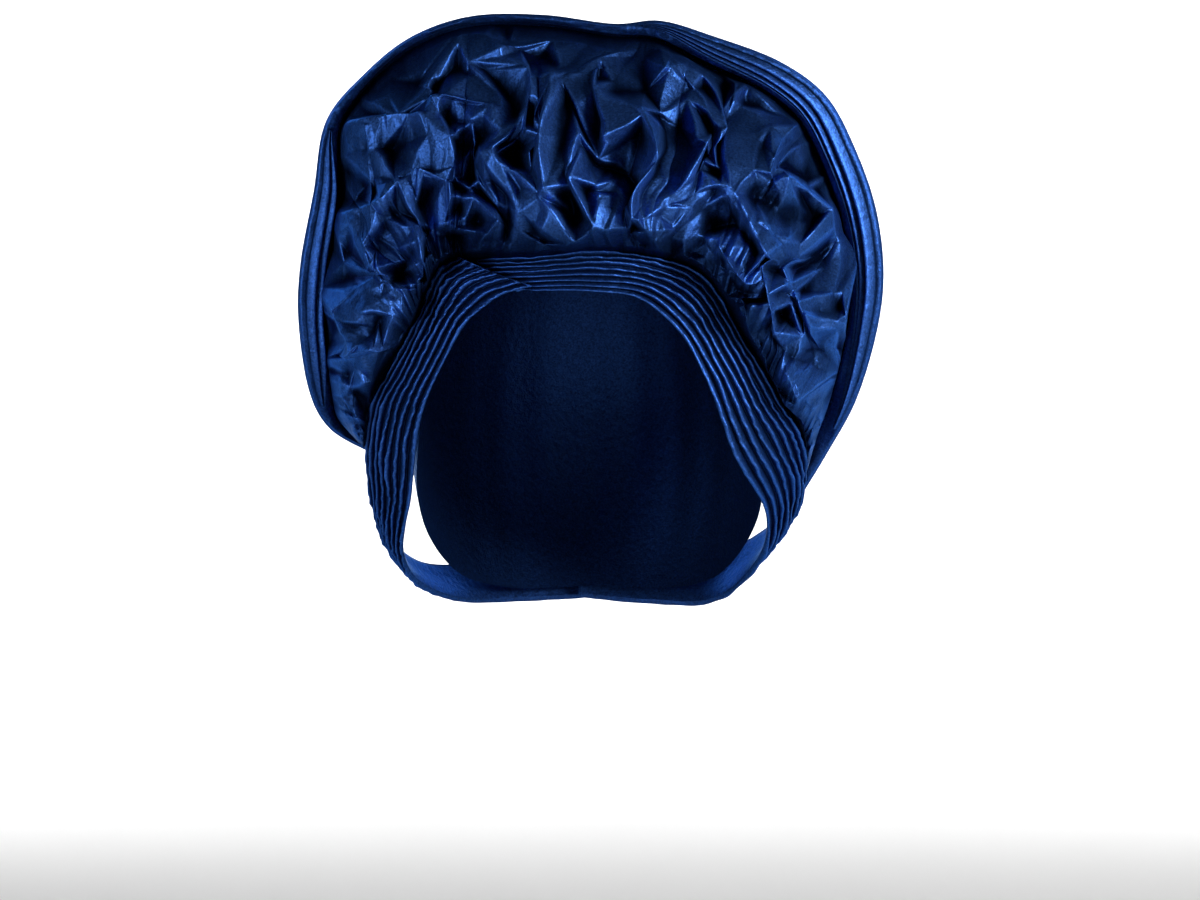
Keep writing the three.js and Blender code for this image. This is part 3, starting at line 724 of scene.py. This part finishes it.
def rim_at(share):
    """The rim's outermost points, the way outwards in the front view, and the width of the hem."""
    row = rows_at(RIM, RIM_COLUMNS, share)
    before = rows_at(RIM, RIM_COLUMNS, share - RIM_STEP)
    after = rows_at(RIM, RIM_COLUMNS, share + RIM_STEP)
    x = (row["across"] - 0.5) * TIE_WIDTH
    z = TOP_ABOVE_CROWN - row["down"] * TIE_HEIGHT
    run_x = (after["across"] - before["across"]) * TIE_WIDTH
    run_z = (before["down"] - after["down"]) * TIE_HEIGHT
    outwards = unit(stack(-run_z, np.zeros_like(x), run_x))
    return stack(x, row["back"] * RIM_DEPTH, z), outwards, row["lip"] * TIE_WIDTH


def hem_point(share, inwards):
    """Points of the turned hem's front, from the rim's outer edge at 0 to the hem's inner edge at 1."""
    point, outwards, lip = rim_at(share)
    forward = ROLL_DEPTH * (1 - HEM_FALL * inwards**2)
    moved = point - outwards * mix(ROLL_WIDTH / 2, lip, inwards)[..., None]
    moved[..., 1] -= forward
    return moved


def fan_seat(share):
    """Where the fan's back edge lies on the hood."""
    around = -mix(SEAT_AROUND, 360 - SEAT_AROUND, share)
    drop = mix(SEAT_DROP_SIDE, SEAT_DROP_BACK, np.sin(np.pi * share))
    return on_head(around, -drop, 2 * CLOTH + SEAT)


def hem_lines(share):
    """The turned hem, uneven between its edge and the rim, and the cloth that turns back behind it."""
    _, outwards, lip = rim_at(share)
    uneven = sum(rise * waves(share * RIM_LENGTH, seed, length) for seed, length, rise in HEM_WAVES)
    hem = []
    for inwards in HEM_LINES:
        line = hem_point(share, np.full(len(share), inwards))
        line[:, 1] -= math.sin(math.pi * inwards) * uneven
        hem.append(line)
    behind = hem[0] + outwards * HEM_EDGE_OUT
    behind[:, 1] += HEM_EDGE_BACK
    deep = hem[0] + outwards * np.minimum(HEM_RETURN_OUT, lip * HEM_RETURN_SHARE)[:, None]
    deep[:, 1] += HEM_RETURN_BACK
    return [deep, behind, *hem]


def roll_lines(share):
    """The rolled edge, from the front round the outside to the back."""
    point, outwards, _ = rim_at(share)
    rolls = []
    for turn in ROLL_TURNS:
        swing = turn * math.pi / 2
        line = point - outwards * ((1 - math.sin(swing)) * ROLL_WIDTH)
        line[:, 1] -= ROLL_DEPTH * math.cos(swing)
        rolls.append(line)
    return rolls


def fan_back_lines(share):
    """The fan's back in soft radial folds, from the roll down to its seat on the hood."""
    point, outwards, _ = rim_at(share)
    top = point - outwards * ROLL_WIDTH
    top[:, 1] += ROLL_DEPTH
    foot = fan_seat(share)
    middle = mix(top, foot, FAN_FULLEST)
    middle[:, 1] += FAN_SIDE_BULGE + FAN_BULGE * np.sin(np.pi * share) ** 2
    lines = []
    for down in np.linspace(0, 1, FAN_BACK_ROWS):
        line = (1 - down) ** 2 * top + 2 * down * (1 - down) * middle + down**2 * foot
        uneven = FAN_FOLD_RISE * np.cos(2 * np.pi * FAN_FOLD_COUNT * share)
        for seed, length, rise, slant, power in FAN_WAVES:
            uneven += rise * waves(share * RIM_LENGTH + slant * down**power, seed, length)
        line[:, 1] += math.sin(math.pi * down) * uneven
        lines.append(line)
    return lines


def make_fan(material):
    """The fan: an inner return, the turned hem, the rolled rim and the back in soft radial folds."""
    share = np.linspace(0, 1, FAN_STEPS)
    grid = np.stack([*hem_lines(share), *roll_lines(share), *fan_back_lines(share)], axis=1)
    shade = np.full(grid.shape[:2], PLAIN_SHADE)
    for line, line_shade in RIM_LINE_SHADES.items():
        shade[:, line] = line_shade
    return grid_mesh("fan", grid, material, shade=shade)


# The rise of each fold on the rim, from the innermost to the outermost, at even steps along it.
LEFT_RIM_RISES = [
    (0.5, 1, 0.7, 0.9, 0.5),
    (0.6, 0.8, 1.1, 0.7, 0.6),
]
RIGHT_RIM_RISES = [
    (0.5, 1, 0.9, 0.15, 0.05, 0.05),
    (0.5, 0.8, 1.1, 0.5, 0.1, 0.05),
    (0.6, 0.9, 1.2, 0.9, 0.25, 0.1),
    (0.6, 0.8, 1, 1.35, 1.35, 0.8),
]

# The two groups of folds on the rim: the name, the rows of the rim where each starts and ends, its rises, the
# power that makes its outer folds broader, the part of the hem that it covers, and the seed of its puckers.
RIM_FOLDS = [
    ("rim_pleat_left", 1.6, 5.9, LEFT_RIM_RISES, 1.2, 0.2, 0.96, 300),
    ("rim_pleats_right", 11.6, 20.6, RIGHT_RIM_RISES, 2.5, 0.1, 0.84, 400),
]


def make_rim_pleats(name, start, end, rises, broader, cover_from, cover_to, seed, material):
    """The folds that lie on the turned hem."""
    def place(along, across):
        opened = np.clip(np.minimum(along, 1 - along) / RIM_PLEAT_TIP, 0, 1)
        width = (cover_to - cover_from) * mix(RIM_PLEAT_TIP_WIDTH, 1, np.sin(np.pi / 2 * opened))
        spread = np.maximum(across, 0) ** mix(1, broader, np.clip(2 * along, 0, 1))
        points = hem_point(mix(start, end, along) / RIM_ROWS, cover_from + width * (1 - spread))
        points[..., 1] -= RIM_PLEAT_GAP
        return points

    length = (end - start) * RIM_ROW_LENGTH
    grid, shade = pleated(
        place,
        length=length,
        steps=max(RIM_PLEAT_STEPS, int(length * RIM_STEPS_PER_MM)),
        rises=rises,
        wall=RIM_PLEAT_WALL,
        rise=RIM_PLEAT_RISE + RIM_PLEAT_EXTRA,
        shades=RIM_SHADES,
        pucker=RIM_PLEAT_PUCKER,
        seed=seed,
        turned=False,
    )
    return grid_mesh(name, grid, material, shade=shade)


# The hood


def make_hood(material):
    """The hood as one skin over the crown and the back of the head, with shallow gathers."""
    share = np.linspace(0, 1, HOOD_LINES + 1)[:-1]
    edge = rows_at(HOOD_EDGE, HOOD_COLUMNS, share)
    around = edge["around"]
    low = -edge["drop"] * BAND_REACH
    lift = CLOTH * HOOD_SKIN_SHARE
    tall = np.where(low < -CROWN_TO_TEMPLE, TEMPLE_TO_NECK, CROWN_TO_TEMPLE) + lift
    last = np.arccos(np.clip((low + CROWN_TO_TEMPLE) / tall, -1, 1))
    behind = np.maximum(0, -np.cos(np.radians(around)))
    gather = HOOD_GATHER_RISE * behind * np.cos(np.radians(around) * HOOD_GATHER_COUNT)
    rings = []
    for down in np.linspace(HOOD_FIRST_RING, 1, HOOD_RINGS):
        angle = last * down
        reach = np.where(angle > np.pi / 2, TEMPLE_TO_NECK, CROWN_TO_TEMPLE) + lift
        height = -CROWN_TO_TEMPLE + reach * np.cos(angle)
        rings.append(on_head(around, height, lift + gather * math.sin(math.pi * down**3)))
    grid = np.stack(rings, axis=1)
    return grid_mesh("hood", grid, material, ring=True, shade=np.full(grid.shape[:2], PLAIN_SHADE))


# The ruffles


def rim_column(name):
    """One column of the rim's table."""
    return np.array([row[RIM_COLUMNS.index(name)] for row in RIM])


def ruffle_foot(row):
    """Where the ruffles start beside the wraps' outer edges."""
    last_left = np.flatnonzero(rim_column("side") < 0).max()
    foot = rim_column("foot")
    start = np.minimum(np.floor(row).astype(int), RIM_ROWS - 1)
    step = row - start
    ones = np.ones_like(row)
    left_share = mix(foot[start], np.where(start >= last_left, foot[start], foot[start + 1]), step)
    right_share = mix(np.where(start <= last_left, foot[start + 1], foot[start]), foot[start + 1], step)
    left = wrap_point(LEFT_WRAP, left_share, ones, WRAP_WALL)
    right = wrap_point(RIGHT_WRAP, right_share, ones, WRAP_WALL)
    crossing = np.where(start < last_left, 0.0, np.where(start > last_left, 1.0, step))[..., None]
    return mix(left, right, crossing)


def placed_folds(table, spread, least):
    """A table's folds in millimetres: both ends, the rise, and the fall to the left and to the right."""
    fold = dict(zip(FOLD_COLUMNS, np.array(table).T))
    return np.stack(
        [
            (fold["from_across"] - 0.5) * TIE_WIDTH,
            TOP_ABOVE_CROWN - fold["from_down"] * TIE_HEIGHT,
            (fold["to_across"] - 0.5) * TIE_WIDTH,
            TOP_ABOVE_CROWN - fold["to_down"] * TIE_HEIGHT,
            fold["rise"] * FOLD_RISE,
            np.maximum(least, spread * fold["fall_left"] * TIE_WIDTH),
            np.maximum(least, spread * fold["fall_right"] * TIE_WIDTH),
        ],
        axis=1,
    )


def loose_folds(seed):
    """Folds strewn among the placed ones: most run out from the wraps, each a little askew."""
    rng = np.random.default_rng(seed)
    row = rng.uniform(*LOOSE_ROWS, LOOSE_FOLDS)
    foot = ruffle_foot(row)
    edge = hem_point(row / RIM_ROWS, np.ones(LOOSE_FOLDS))
    middle = mix(foot, edge, rng.uniform(*LOOSE_PLACES, LOOSE_FOLDS)[:, None])
    outwards = np.arctan2(edge[:, 2] - foot[:, 2], edge[:, 0] - foot[:, 0])
    turn = outwards + rng.normal(0, LOOSE_TURN, LOOSE_FOLDS)
    half = rng.uniform(*LOOSE_HALVES, LOOSE_FOLDS)
    gentle = rng.uniform(*LOOSE_GENTLE, LOOSE_FOLDS)
    steep = rng.uniform(*LOOSE_STEEP, LOOSE_FOLDS)
    falls_left = rng.random(LOOSE_FOLDS) < 0.5
    return np.stack(
        [
            middle[:, 0] - half * np.cos(turn),
            middle[:, 2] - half * np.sin(turn),
            middle[:, 0] + half * np.cos(turn),
            middle[:, 2] + half * np.sin(turn),
            rng.uniform(*LOOSE_RISES, LOOSE_FOLDS) * FOLD_RISE,
            np.where(falls_left, steep, gentle),
            np.where(falls_left, gentle, steep),
        ],
        axis=1,
    )


def warp(along, other, length, shift, shift_length):
    """A wave along one way that is itself shifted by a wave along the other."""
    return FOLD_WARP * np.sin(along / length + shift * np.sin(other / shift_length))


def bent(x, z):
    """Points shifted a little, so that straight crests turn into slightly curved ones."""
    return x + warp(z, x, *WARP_ACROSS), z + warp(x, z, *WARP_DOWN)


def fold_lift(x, z, folds):
    """How far the folds lift the cloth, and how far each fold leans over to its steeper side."""
    lift = np.zeros_like(x)
    lean_x, lean_z, weight = np.zeros_like(x), np.zeros_like(x), np.full_like(x, 1e-9)
    for ax, az, bx, bz, rise, left, right in folds:
        length = math.hypot(bx - ax, bz - az)
        reach = length / 2 + max(left, right)
        near = (np.abs(x - (ax + bx) / 2) < reach) & (np.abs(z - (az + bz) / 2) < reach)
        if not near.any():
            continue
        from_x, from_z = x[near] - ax, z[near] - az
        ux, uz = (bx - ax) / length, (bz - az) / length
        along = np.clip(from_x * ux + from_z * uz, 0, length)
        away = np.hypot(from_x - along * ux, from_z - along * uz)
        to_left = np.clip((from_z * ux - from_x * uz) / np.maximum(away, 1e-6), -1, 1)
        width = mix(right, left, (1 + to_left) / 2)
        rounded = np.sqrt(away**2 + CREST_ROUND**2) - CREST_ROUND
        tent = rise * np.maximum(0, 1 - rounded / width) ** FOLD_HOLLOW
        pull = (tent / FOLD_RISE) ** FOLD_LEAN_POWER
        side = 1 if left < right else -1
        lean_x[near] -= pull * uz * side
        lean_z[near] += pull * ux * side
        weight[near] += pull
        lift[near] = np.maximum(lift[near], tent)
    return lift, lean_x / weight, lean_z / weight


def clear_of(points, folds, gap):
    """The points that lie at least the gap away from every crest."""
    kept = np.ones(len(points), dtype=bool)
    for ax, az, bx, bz, *_ in folds:
        run = np.array([bx - ax, bz - az])
        share = np.clip((points - (ax, az)) @ run / (run @ run), 0, 1)
        kept &= np.linalg.norm(points - (ax, az) - share[:, None] * run, axis=1) > gap
    return points[kept]


def drift(row, out, seed):
    """A smooth uneven height over the ruffle, between about -1 and 1."""
    rng = np.random.default_rng(seed)
    total = np.zeros_like(row)
    for _ in range(DRIFT_WAVES):
        along = row * rng.uniform(*DRIFT_PER_ROW)
        outwards = out * rng.uniform(*DRIFT_OUT)
        total += np.sin(along + outwards + rng.uniform(0, 2 * np.pi))
    return total / DRIFT_SIZE


def gathers(row, out):
    """The height of the narrow folds that run from the wraps towards the rim."""
    total = np.zeros_like(row)
    for i, (per_row, rise, highest, wander) in enumerate(GATHERS):
        phase = row * per_row + wander * drift(row, out, GATHER_WANDER_SEED + i)
        place = phase % 1
        ridge = np.where(place < GATHER_STEEP, place / GATHER_STEEP, (1 - place) / (1 - GATHER_STEEP))
        strength = 1 - GATHER_STRAY + GATHER_STRAY * drift(row, out, GATHER_STRAY_SEED + i)
        total += rise * strength * ridge * np.exp(-(((out - highest) / GATHER_SPREAD) ** 2))
    return total


def strewn(low_x, low_y, high_x, high_y, spacing, rng):
    """Points about evenly strewn over a rectangle."""
    gx, gy = np.meshgrid(np.arange(low_x, high_x, spacing), np.arange(low_y, high_y, spacing), indexing="ij")
    stray = rng.uniform(-STREW_STRAY, STREW_STRAY, (gx.size, 2))
    return np.stack([gx.ravel(), gy.ravel()], axis=1) + stray * spacing


def surface_of(flat, heights):
    """A surface to look up, from flat triangles and the height of each corner."""
    corners = [(v[0], v[1], h) for v, h in zip(flat[0], heights)]
    return BVHTree.FromPolygons(corners, [tuple(f) for f in flat[2]])


def looked_up(tree, x, y):
    """The heights of such a surface at the points of two arrays."""
    above_all = 100
    down = Vector((0, 0, -1))
    found = np.zeros(x.size)
    for i, (px, py) in enumerate(zip(x.ravel(), y.ravel())):
        hit = tree.ray_cast(Vector((px, py, above_all)), down)[0]
        found[i] = hit.z if hit else 0.0
    return found.reshape(x.shape)


def crest_tree(main, fine, loose):
    """Flat facets that meet in the crests of the folds."""
    rng = np.random.default_rng(FACET_SEED)
    folds = np.vstack([main, fine, loose])
    ends = folds[:, :4].reshape(-1, 2)
    low_x, high_x = -TIE_WIDTH / 2 - FACET_MARGIN, TIE_WIDTH / 2 + FACET_MARGIN
    low_z, high_z = TOP_ABOVE_CROWN - TIE_HEIGHT - FACET_MARGIN, TOP_ABOVE_CROWN + FACET_MARGIN
    between = clear_of(strewn(low_x, low_z, high_x, high_z, FACET_SPACING, rng), folds, CREST_CLEARANCE)
    points = [Vector(p) for p in np.vstack([ends, between])]
    crests = [(2 * i, 2 * i + 1) for i in range(len(folds))]
    flat = delaunay_2d_cdt(points, crests, [], 0, CREST_MERGE)
    x = np.array([v[0] for v in flat[0]])
    z = np.array([v[1] for v in flat[0]])
    own = fold_lift(x, z, main)[0]
    own += FINE_SHARE * fold_lift(x, z, fine)[0] + LOOSE_SHARE * fold_lift(x, z, loose)[0]
    is_valley = np.array([bool(origin) and min(origin) >= len(ends) for origin in flat[3]])
    heights = own * np.where(is_valley, VALLEY_SHARE, 1) + FACET_STRAY * rng.uniform(-1, 1, len(x))
    return surface_of(flat, heights)


def crumple_tree(spacing, seed):
    """Flat facets with random heights over the whole ruffle, as a surface to look up."""
    rng = np.random.default_rng(seed)
    wide = RIM_ROWS * RIM_ROW_LENGTH
    long = RUFFLE_LENGTH / CRUMPLE_STRETCH
    points = strewn(-spacing, -spacing, wide + 2 * spacing, long + 2 * spacing, spacing, rng)
    flat = delaunay_2d_cdt([Vector(p) for p in points], [], [], 0, CRUMPLE_MERGE)
    return surface_of(flat, rng.uniform(-1, 1, len(flat[0])))


def crumples(row, out, trees):
    """The height of the small crumples at points given by rim row and way out."""
    total = np.zeros_like(row)
    for (_, rise), tree in zip(CRUMPLES, trees):
        total += rise * looked_up(tree, row * RIM_ROW_LENGTH, out * RUFFLE_LENGTH / CRUMPLE_STRETCH)
    return total


def blurred(height, radius):
    """The height averaged over a square window that reaches the given number of cells each way."""
    size = 2 * radius + 1
    total = np.pad(np.pad(height, radius, mode="edge"), ((1, 0), (1, 0))).cumsum(axis=0).cumsum(axis=1)
    window = total[size:, size:] - total[:-size, size:] - total[size:, :-size] + total[:-size, :-size]
    return window / size**2


def fold_shade(relief, out):
    """Painted shadow in the bottom of the folds and where the ruffle meets its neighbours, and a painted
    highlight on the creases.
    """
    depth = (relief - blurred(relief, DEPTH_WINDOW)) / DEPTH_FOR_WHOLE
    crease = CREASE_GAIN * (relief - blurred(relief, CREASE_WINDOW)) - CREASE_LEAST
    folded = PLAIN_SHADE + np.clip(depth, *DEPTH_LIMITS) + np.clip(crease, *CREASE_LIMITS)
    return folded * np.interp(out, EDGE_SHADE_AT, EDGE_SHADES)


def make_ruffle(name, start, end, start_puff, full_puff, end_puff, main, crests, trees, material):
    """One lobe of the ruffles, with the folds from the surface of crests, which lean as the main folds do."""
    rows = np.linspace(start, end, RUFFLE_COLUMNS)
    row, out = np.meshgrid(rows, np.linspace(0, 1, RUFFLE_LINES), indexing="ij")
    foot = ruffle_foot(row)
    edge = hem_point(row / RIM_ROWS, np.ones_like(row))
    across = edge - foot
    across[..., 1] = 0
    tuck = unit(across) * RUFFLE_TUCK
    first = foot + tuck
    last = edge - tuck
    point = mix(first, last, out[..., None])
    lobe_share = (row - start) / (end - start)
    seam_puff = np.where(lobe_share < 0.5, start_puff, end_puff)
    swelling = mix(seam_puff, full_puff, np.sqrt(np.maximum(0, np.sin(np.pi * lobe_share))))
    puff = RUFFLE_PUFF * swelling * np.sin(np.pi * out)
    fade = np.minimum(1, np.minimum(out / WRAP_FADE, (1 - out) / RIM_FADE))
    bent_x, bent_z = bent(point[..., 0], point[..., 2])
    lift, lean_x, lean_z = fold_lift(bent_x, bent_z, main)
    crumple = crumples(row, out, trees) + gathers(row, out)
    base = mix(first[..., 1], last[..., 1] + RUFFLE_SINK, out**RUFFLE_EASE) + RIM_DIP * out**RIM_DIP_POWER
    relief = fade * blurred(looked_up(crests, bent_x, bent_z) + crumple, 1)
    point[..., 1] = base - puff - relief
    lean = FOLD_LEAN * fade * lift
    point[..., 0] += lean * lean_x
    point[..., 2] += lean * lean_z
    return grid_mesh(name, point, material, shade=fold_shade(relief, out))


# Materials

# The cloth's colour with painted shadow in the bottom of a fold and with a painted highlight on a crease, as
# a share of the plain one
FOLD_SHADOW_SHARE = 0.12
CREASE_HIGHLIGHT_SHARE = 2.4


def shaded(colour, share):
    """A colour made darker or paler, with its alpha."""
    return (*(min(1.0, share * part) for part in colour), 1.0)


def set_inputs(node, values):
    """Gives some of a node's inputs their values."""
    for name, value in values.items():
        node.inputs[name].default_value = value


def new_node(tree, kind, values):
    """A new node with the given values on its inputs."""
    node = tree.nodes.new(kind)
    set_inputs(node, values)
    return node


def new_material(name, values):
    """A new material whose surface has the given values."""
    material = bpy.data.materials.new(name)
    material.use_nodes = True
    set_inputs(material.node_tree.nodes["Principled BSDF"], values)
    return material


def cloth_colour(tree, colour, fine):
    """The colour by the painted light and shade of each point, with a fine grain, as a socket."""
    shade = tree.nodes.new("ShaderNodeAttribute")
    shade.attribute_name = "shade"
    tint = tree.nodes.new("ShaderNodeValToRGB")
    # The ramp paints light and shade: dark for painted shadow in the folds, pale for a painted highlight on
    # the creases.
    tint.color_ramp.elements[0].color = shaded(colour, FOLD_SHADOW_SHARE)
    tint.color_ramp.elements[1].color = shaded(colour, CREASE_HIGHLIGHT_SHARE)
    tint.color_ramp.elements.new(PLAIN_SHADE).color = shaded(colour, 1)
    grain = new_node(
        tree, "ShaderNodeMapRange", {"From Min": 0.3, "From Max": 0.7, "To Min": 0.55, "To Max": 1.5}
    )
    speckled = new_node(tree, "ShaderNodeMix", {"Factor": 1.0})
    speckled.data_type = "RGBA"
    speckled.blend_type = "MULTIPLY"
    tree.links.new(shade.outputs["Fac"], tint.inputs["Fac"])
    tree.links.new(fine.outputs["Fac"], grain.inputs["Value"])
    tree.links.new(tint.outputs["Color"], speckled.inputs["A"])
    tree.links.new(grain.outputs["Result"], speckled.inputs["B"])
    return speckled.outputs["Result"]


def cloth_bumps(tree, place, fine, crinkle):
    """The bumps of the grain and of a net of small creases, as a socket."""
    creases = new_node(tree, "ShaderNodeTexVoronoi", {"Scale": 210, "Randomness": 1.0})
    creases.feature = "DISTANCE_TO_EDGE"
    small = new_node(tree, "ShaderNodeBump", {"Strength": 0.5, "Distance": 0.0004})
    large = new_node(tree, "ShaderNodeBump", {"Strength": crinkle, "Distance": 0.0012})
    tree.links.new(place.outputs["Object"], creases.inputs["Vector"])
    tree.links.new(fine.outputs["Fac"], small.inputs["Height"])
    tree.links.new(creases.outputs["Distance"], large.inputs["Height"])
    tree.links.new(small.outputs["Normal"], large.inputs["Normal"])
    return large.outputs["Normal"]


def cloth_material(name, colour, crinkle):
    """Stiff satin: deep blue with a coloured shine, a fine crinkle, painted shadow in the bottoms of folds
    and a paler line along their crests as a painted highlight.
    """
    shine = {"Metallic": 0.85, "Specular IOR Level": 0.1, "Specular Tint": (0.25, 0.5, 1.0, 1.0)}
    material = new_material(name, {**shine, "Roughness": 0.45})
    tree = material.node_tree
    shader = tree.nodes["Principled BSDF"]
    place = tree.nodes.new("ShaderNodeTexCoord")
    fine = new_node(tree, "ShaderNodeTexNoise", {"Scale": 1100, "Detail": 3, "Distortion": 0.6})
    tree.links.new(place.outputs["Object"], fine.inputs["Vector"])
    tree.links.new(cloth_colour(tree, colour, fine), shader.inputs["Base Color"])
    tree.links.new(cloth_bumps(tree, place, fine, crinkle), shader.inputs["Normal"])
    return material


# The pieces

hood_cloth = cloth_material("hood_satin", (0.007, 0.024, 0.095), 0.2)
wrap_cloth = cloth_material("wrap_satin", (0.014, 0.047, 0.18), 0.3)
fan_cloth = cloth_material("fan_satin", (0.012, 0.042, 0.165), 0.2)
ruffle_cloth = cloth_material("ruffle_satin", (0.018, 0.058, 0.21), 0.2)

made = {
    "hood": make_hood(hood_cloth),
    "wrap_right": make_wrap("wrap_right", RIGHT_WRAP, turned=False, seed=100, material=wrap_cloth),
    "wrap_left": make_wrap("wrap_left", LEFT_WRAP, turned=True, seed=200, material=wrap_cloth),
    "fan": make_fan(fan_cloth),
}
for side_of_rim in RIM_FOLDS:
    made[side_of_rim[0]] = make_rim_pleats(*side_of_rim, wrap_cloth)
main_folds = placed_folds(MAIN_FOLDS, FOLD_SPREAD, FOLD_LEAST)
fine_folds = placed_folds(FINE_FOLDS, FINE_SPREAD, FINE_LEAST)
crest_surface = crest_tree(main_folds, fine_folds, loose_folds(LOOSE_SEED))
crumple_trees = [crumple_tree(spacing, CRUMPLE_SEED + i) for i, (spacing, _) in enumerate(CRUMPLES)]
for lobe in LOBES:
    made[lobe[0]] = make_ruffle(*lobe, main_folds, crest_surface, crumple_trees, ruffle_cloth)

# The width and length that each cloth had before it was folded, how it is held, and what it lies on.
CUTS = {
    "hood": (250, 320, "draped", []),
    "wrap_right": (115, 380, "folded", ["hood"]),
    "wrap_left": (95, 350, "folded", ["hood", "wrap_right"]),
    "fan": (140, 600, "gathered", ["hood"]),
    "rim_pleat_left": (22, 120, "folded", ["fan"]),
    "rim_pleats_right": (30, 240, "folded", ["fan"]),
    "ruffle_lower_left": (90, 140, "gathered", ["wrap_left", "fan"]),
    "ruffle_upper_left": (100, 140, "gathered", ["wrap_left", "fan"]),
    "ruffle_centre": (130, 200, "gathered", ["wrap_right", "fan"]),
    "ruffle_upper_right": (130, 180, "gathered", ["wrap_right", "fan"]),
    "ruffle_lower_right": (90, 130, "gathered", ["wrap_right", "fan"]),
}
for node, piece in made.items():
    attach(piece, "root")
    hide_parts(node)
    width, length, held, under = CUTS[node]
    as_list(under)


# The studio, in metres and watts

FLOOR = -0.34
WALL = 4.8
WALL_TOP = 2.4
HALF_WALL = 3.0
LIT_POINT = (0.0, 0.0, -0.05)

# How far back the paper lies and how high, from the floor's front edge round the bend and up the wall
SWEEP = [
    (-4.6, FLOOR),
    (4.2, FLOOR),
    (4.55, -0.3),
    (4.75, -0.15),
    (WALL, 0.1),
    (WALL, WALL_TOP),
]

# The camera looks straight ahead. The photo's scale sets its lens, and its middle sets its place.
CAMERA_DISTANCE = 4.0
CAMERA_ACROSS = 0.0044
CAMERA_HEIGHT = -0.11
PHOTO_WIDTH = 1200
MM_PER_PIXEL = 0.44


def area_light(name, place, target, size, power, colour):
    """A square soft light that points at the target."""
    data = bpy.data.lights.new(name, "AREA")
    data.size = size
    data.energy = power
    data.color = colour
    light = bpy.data.objects.new(name, data)
    light.location = place
    light.rotation_euler = (Vector(target) - Vector(place)).to_track_quat("-Z", "Y").to_euler()
    bpy.context.scene.collection.objects.link(light)


def make_lights():
    """A soft key light from the right, a weaker fill from the left, and lights on the wall and the floor."""
    white = (1.0, 1.0, 1.0)
    area_light("key", (1.2, -1.0, 0.2), LIT_POINT, 0.5, 31, (1.0, 0.99, 0.97))
    area_light("fill", (-1.2, -0.95, -0.1), LIT_POINT, 0.5, 10, (0.9, 0.95, 1.0))
    for side in (-1, 1):
        area_light("wall_light", (side * 1.4, 3.2, 0.5), (side * 0.5, WALL, 0.0), 1.2, 55, white)
        area_light("floor_light", (side * 1.2, 1.9, 0.9), (side * 0.4, 2.3, FLOOR), 1.2, 22, white)


def make_backdrop():
    """A sweep of pale matt paper as floor and wall."""
    paper = new_material("pale_paper", {"Base Color": (0.9, 0.9, 0.9, 1.0), "Roughness": 0.9})
    sweep = [[(-HALF_WALL, y, z), (HALF_WALL, y, z)] for y, z in SWEEP]
    grid_mesh("backdrop", np.array(sweep) / MM, paper)


def make_room():
    """A faint even light from all round, and plain colours in the picture."""
    world = bpy.data.worlds.new("soft_room")
    world.use_nodes = True
    set_inputs(world.node_tree.nodes["Background"], {"Color": (0.95, 0.97, 1.0, 1.0), "Strength": 0.05})
    bpy.context.scene.world = world
    bpy.context.scene.view_settings.view_transform = "Standard"


def make_camera():
    """The camera straight in front, at the photo's scale."""
    camera = bpy.data.cameras.new("camera")
    camera.lens = camera.sensor_width * CAMERA_DISTANCE / (PHOTO_WIDTH * MM_PER_PIXEL * MM)
    view = bpy.data.objects.new("camera", camera)
    view.location = (CAMERA_ACROSS, -CAMERA_DISTANCE, CAMERA_HEIGHT)
    view.rotation_euler = (math.pi / 2, 0, 0)
    bpy.context.scene.collection.objects.link(view)
    bpy.context.scene.camera = view


make_lights()
make_backdrop()
make_room()
make_camera()
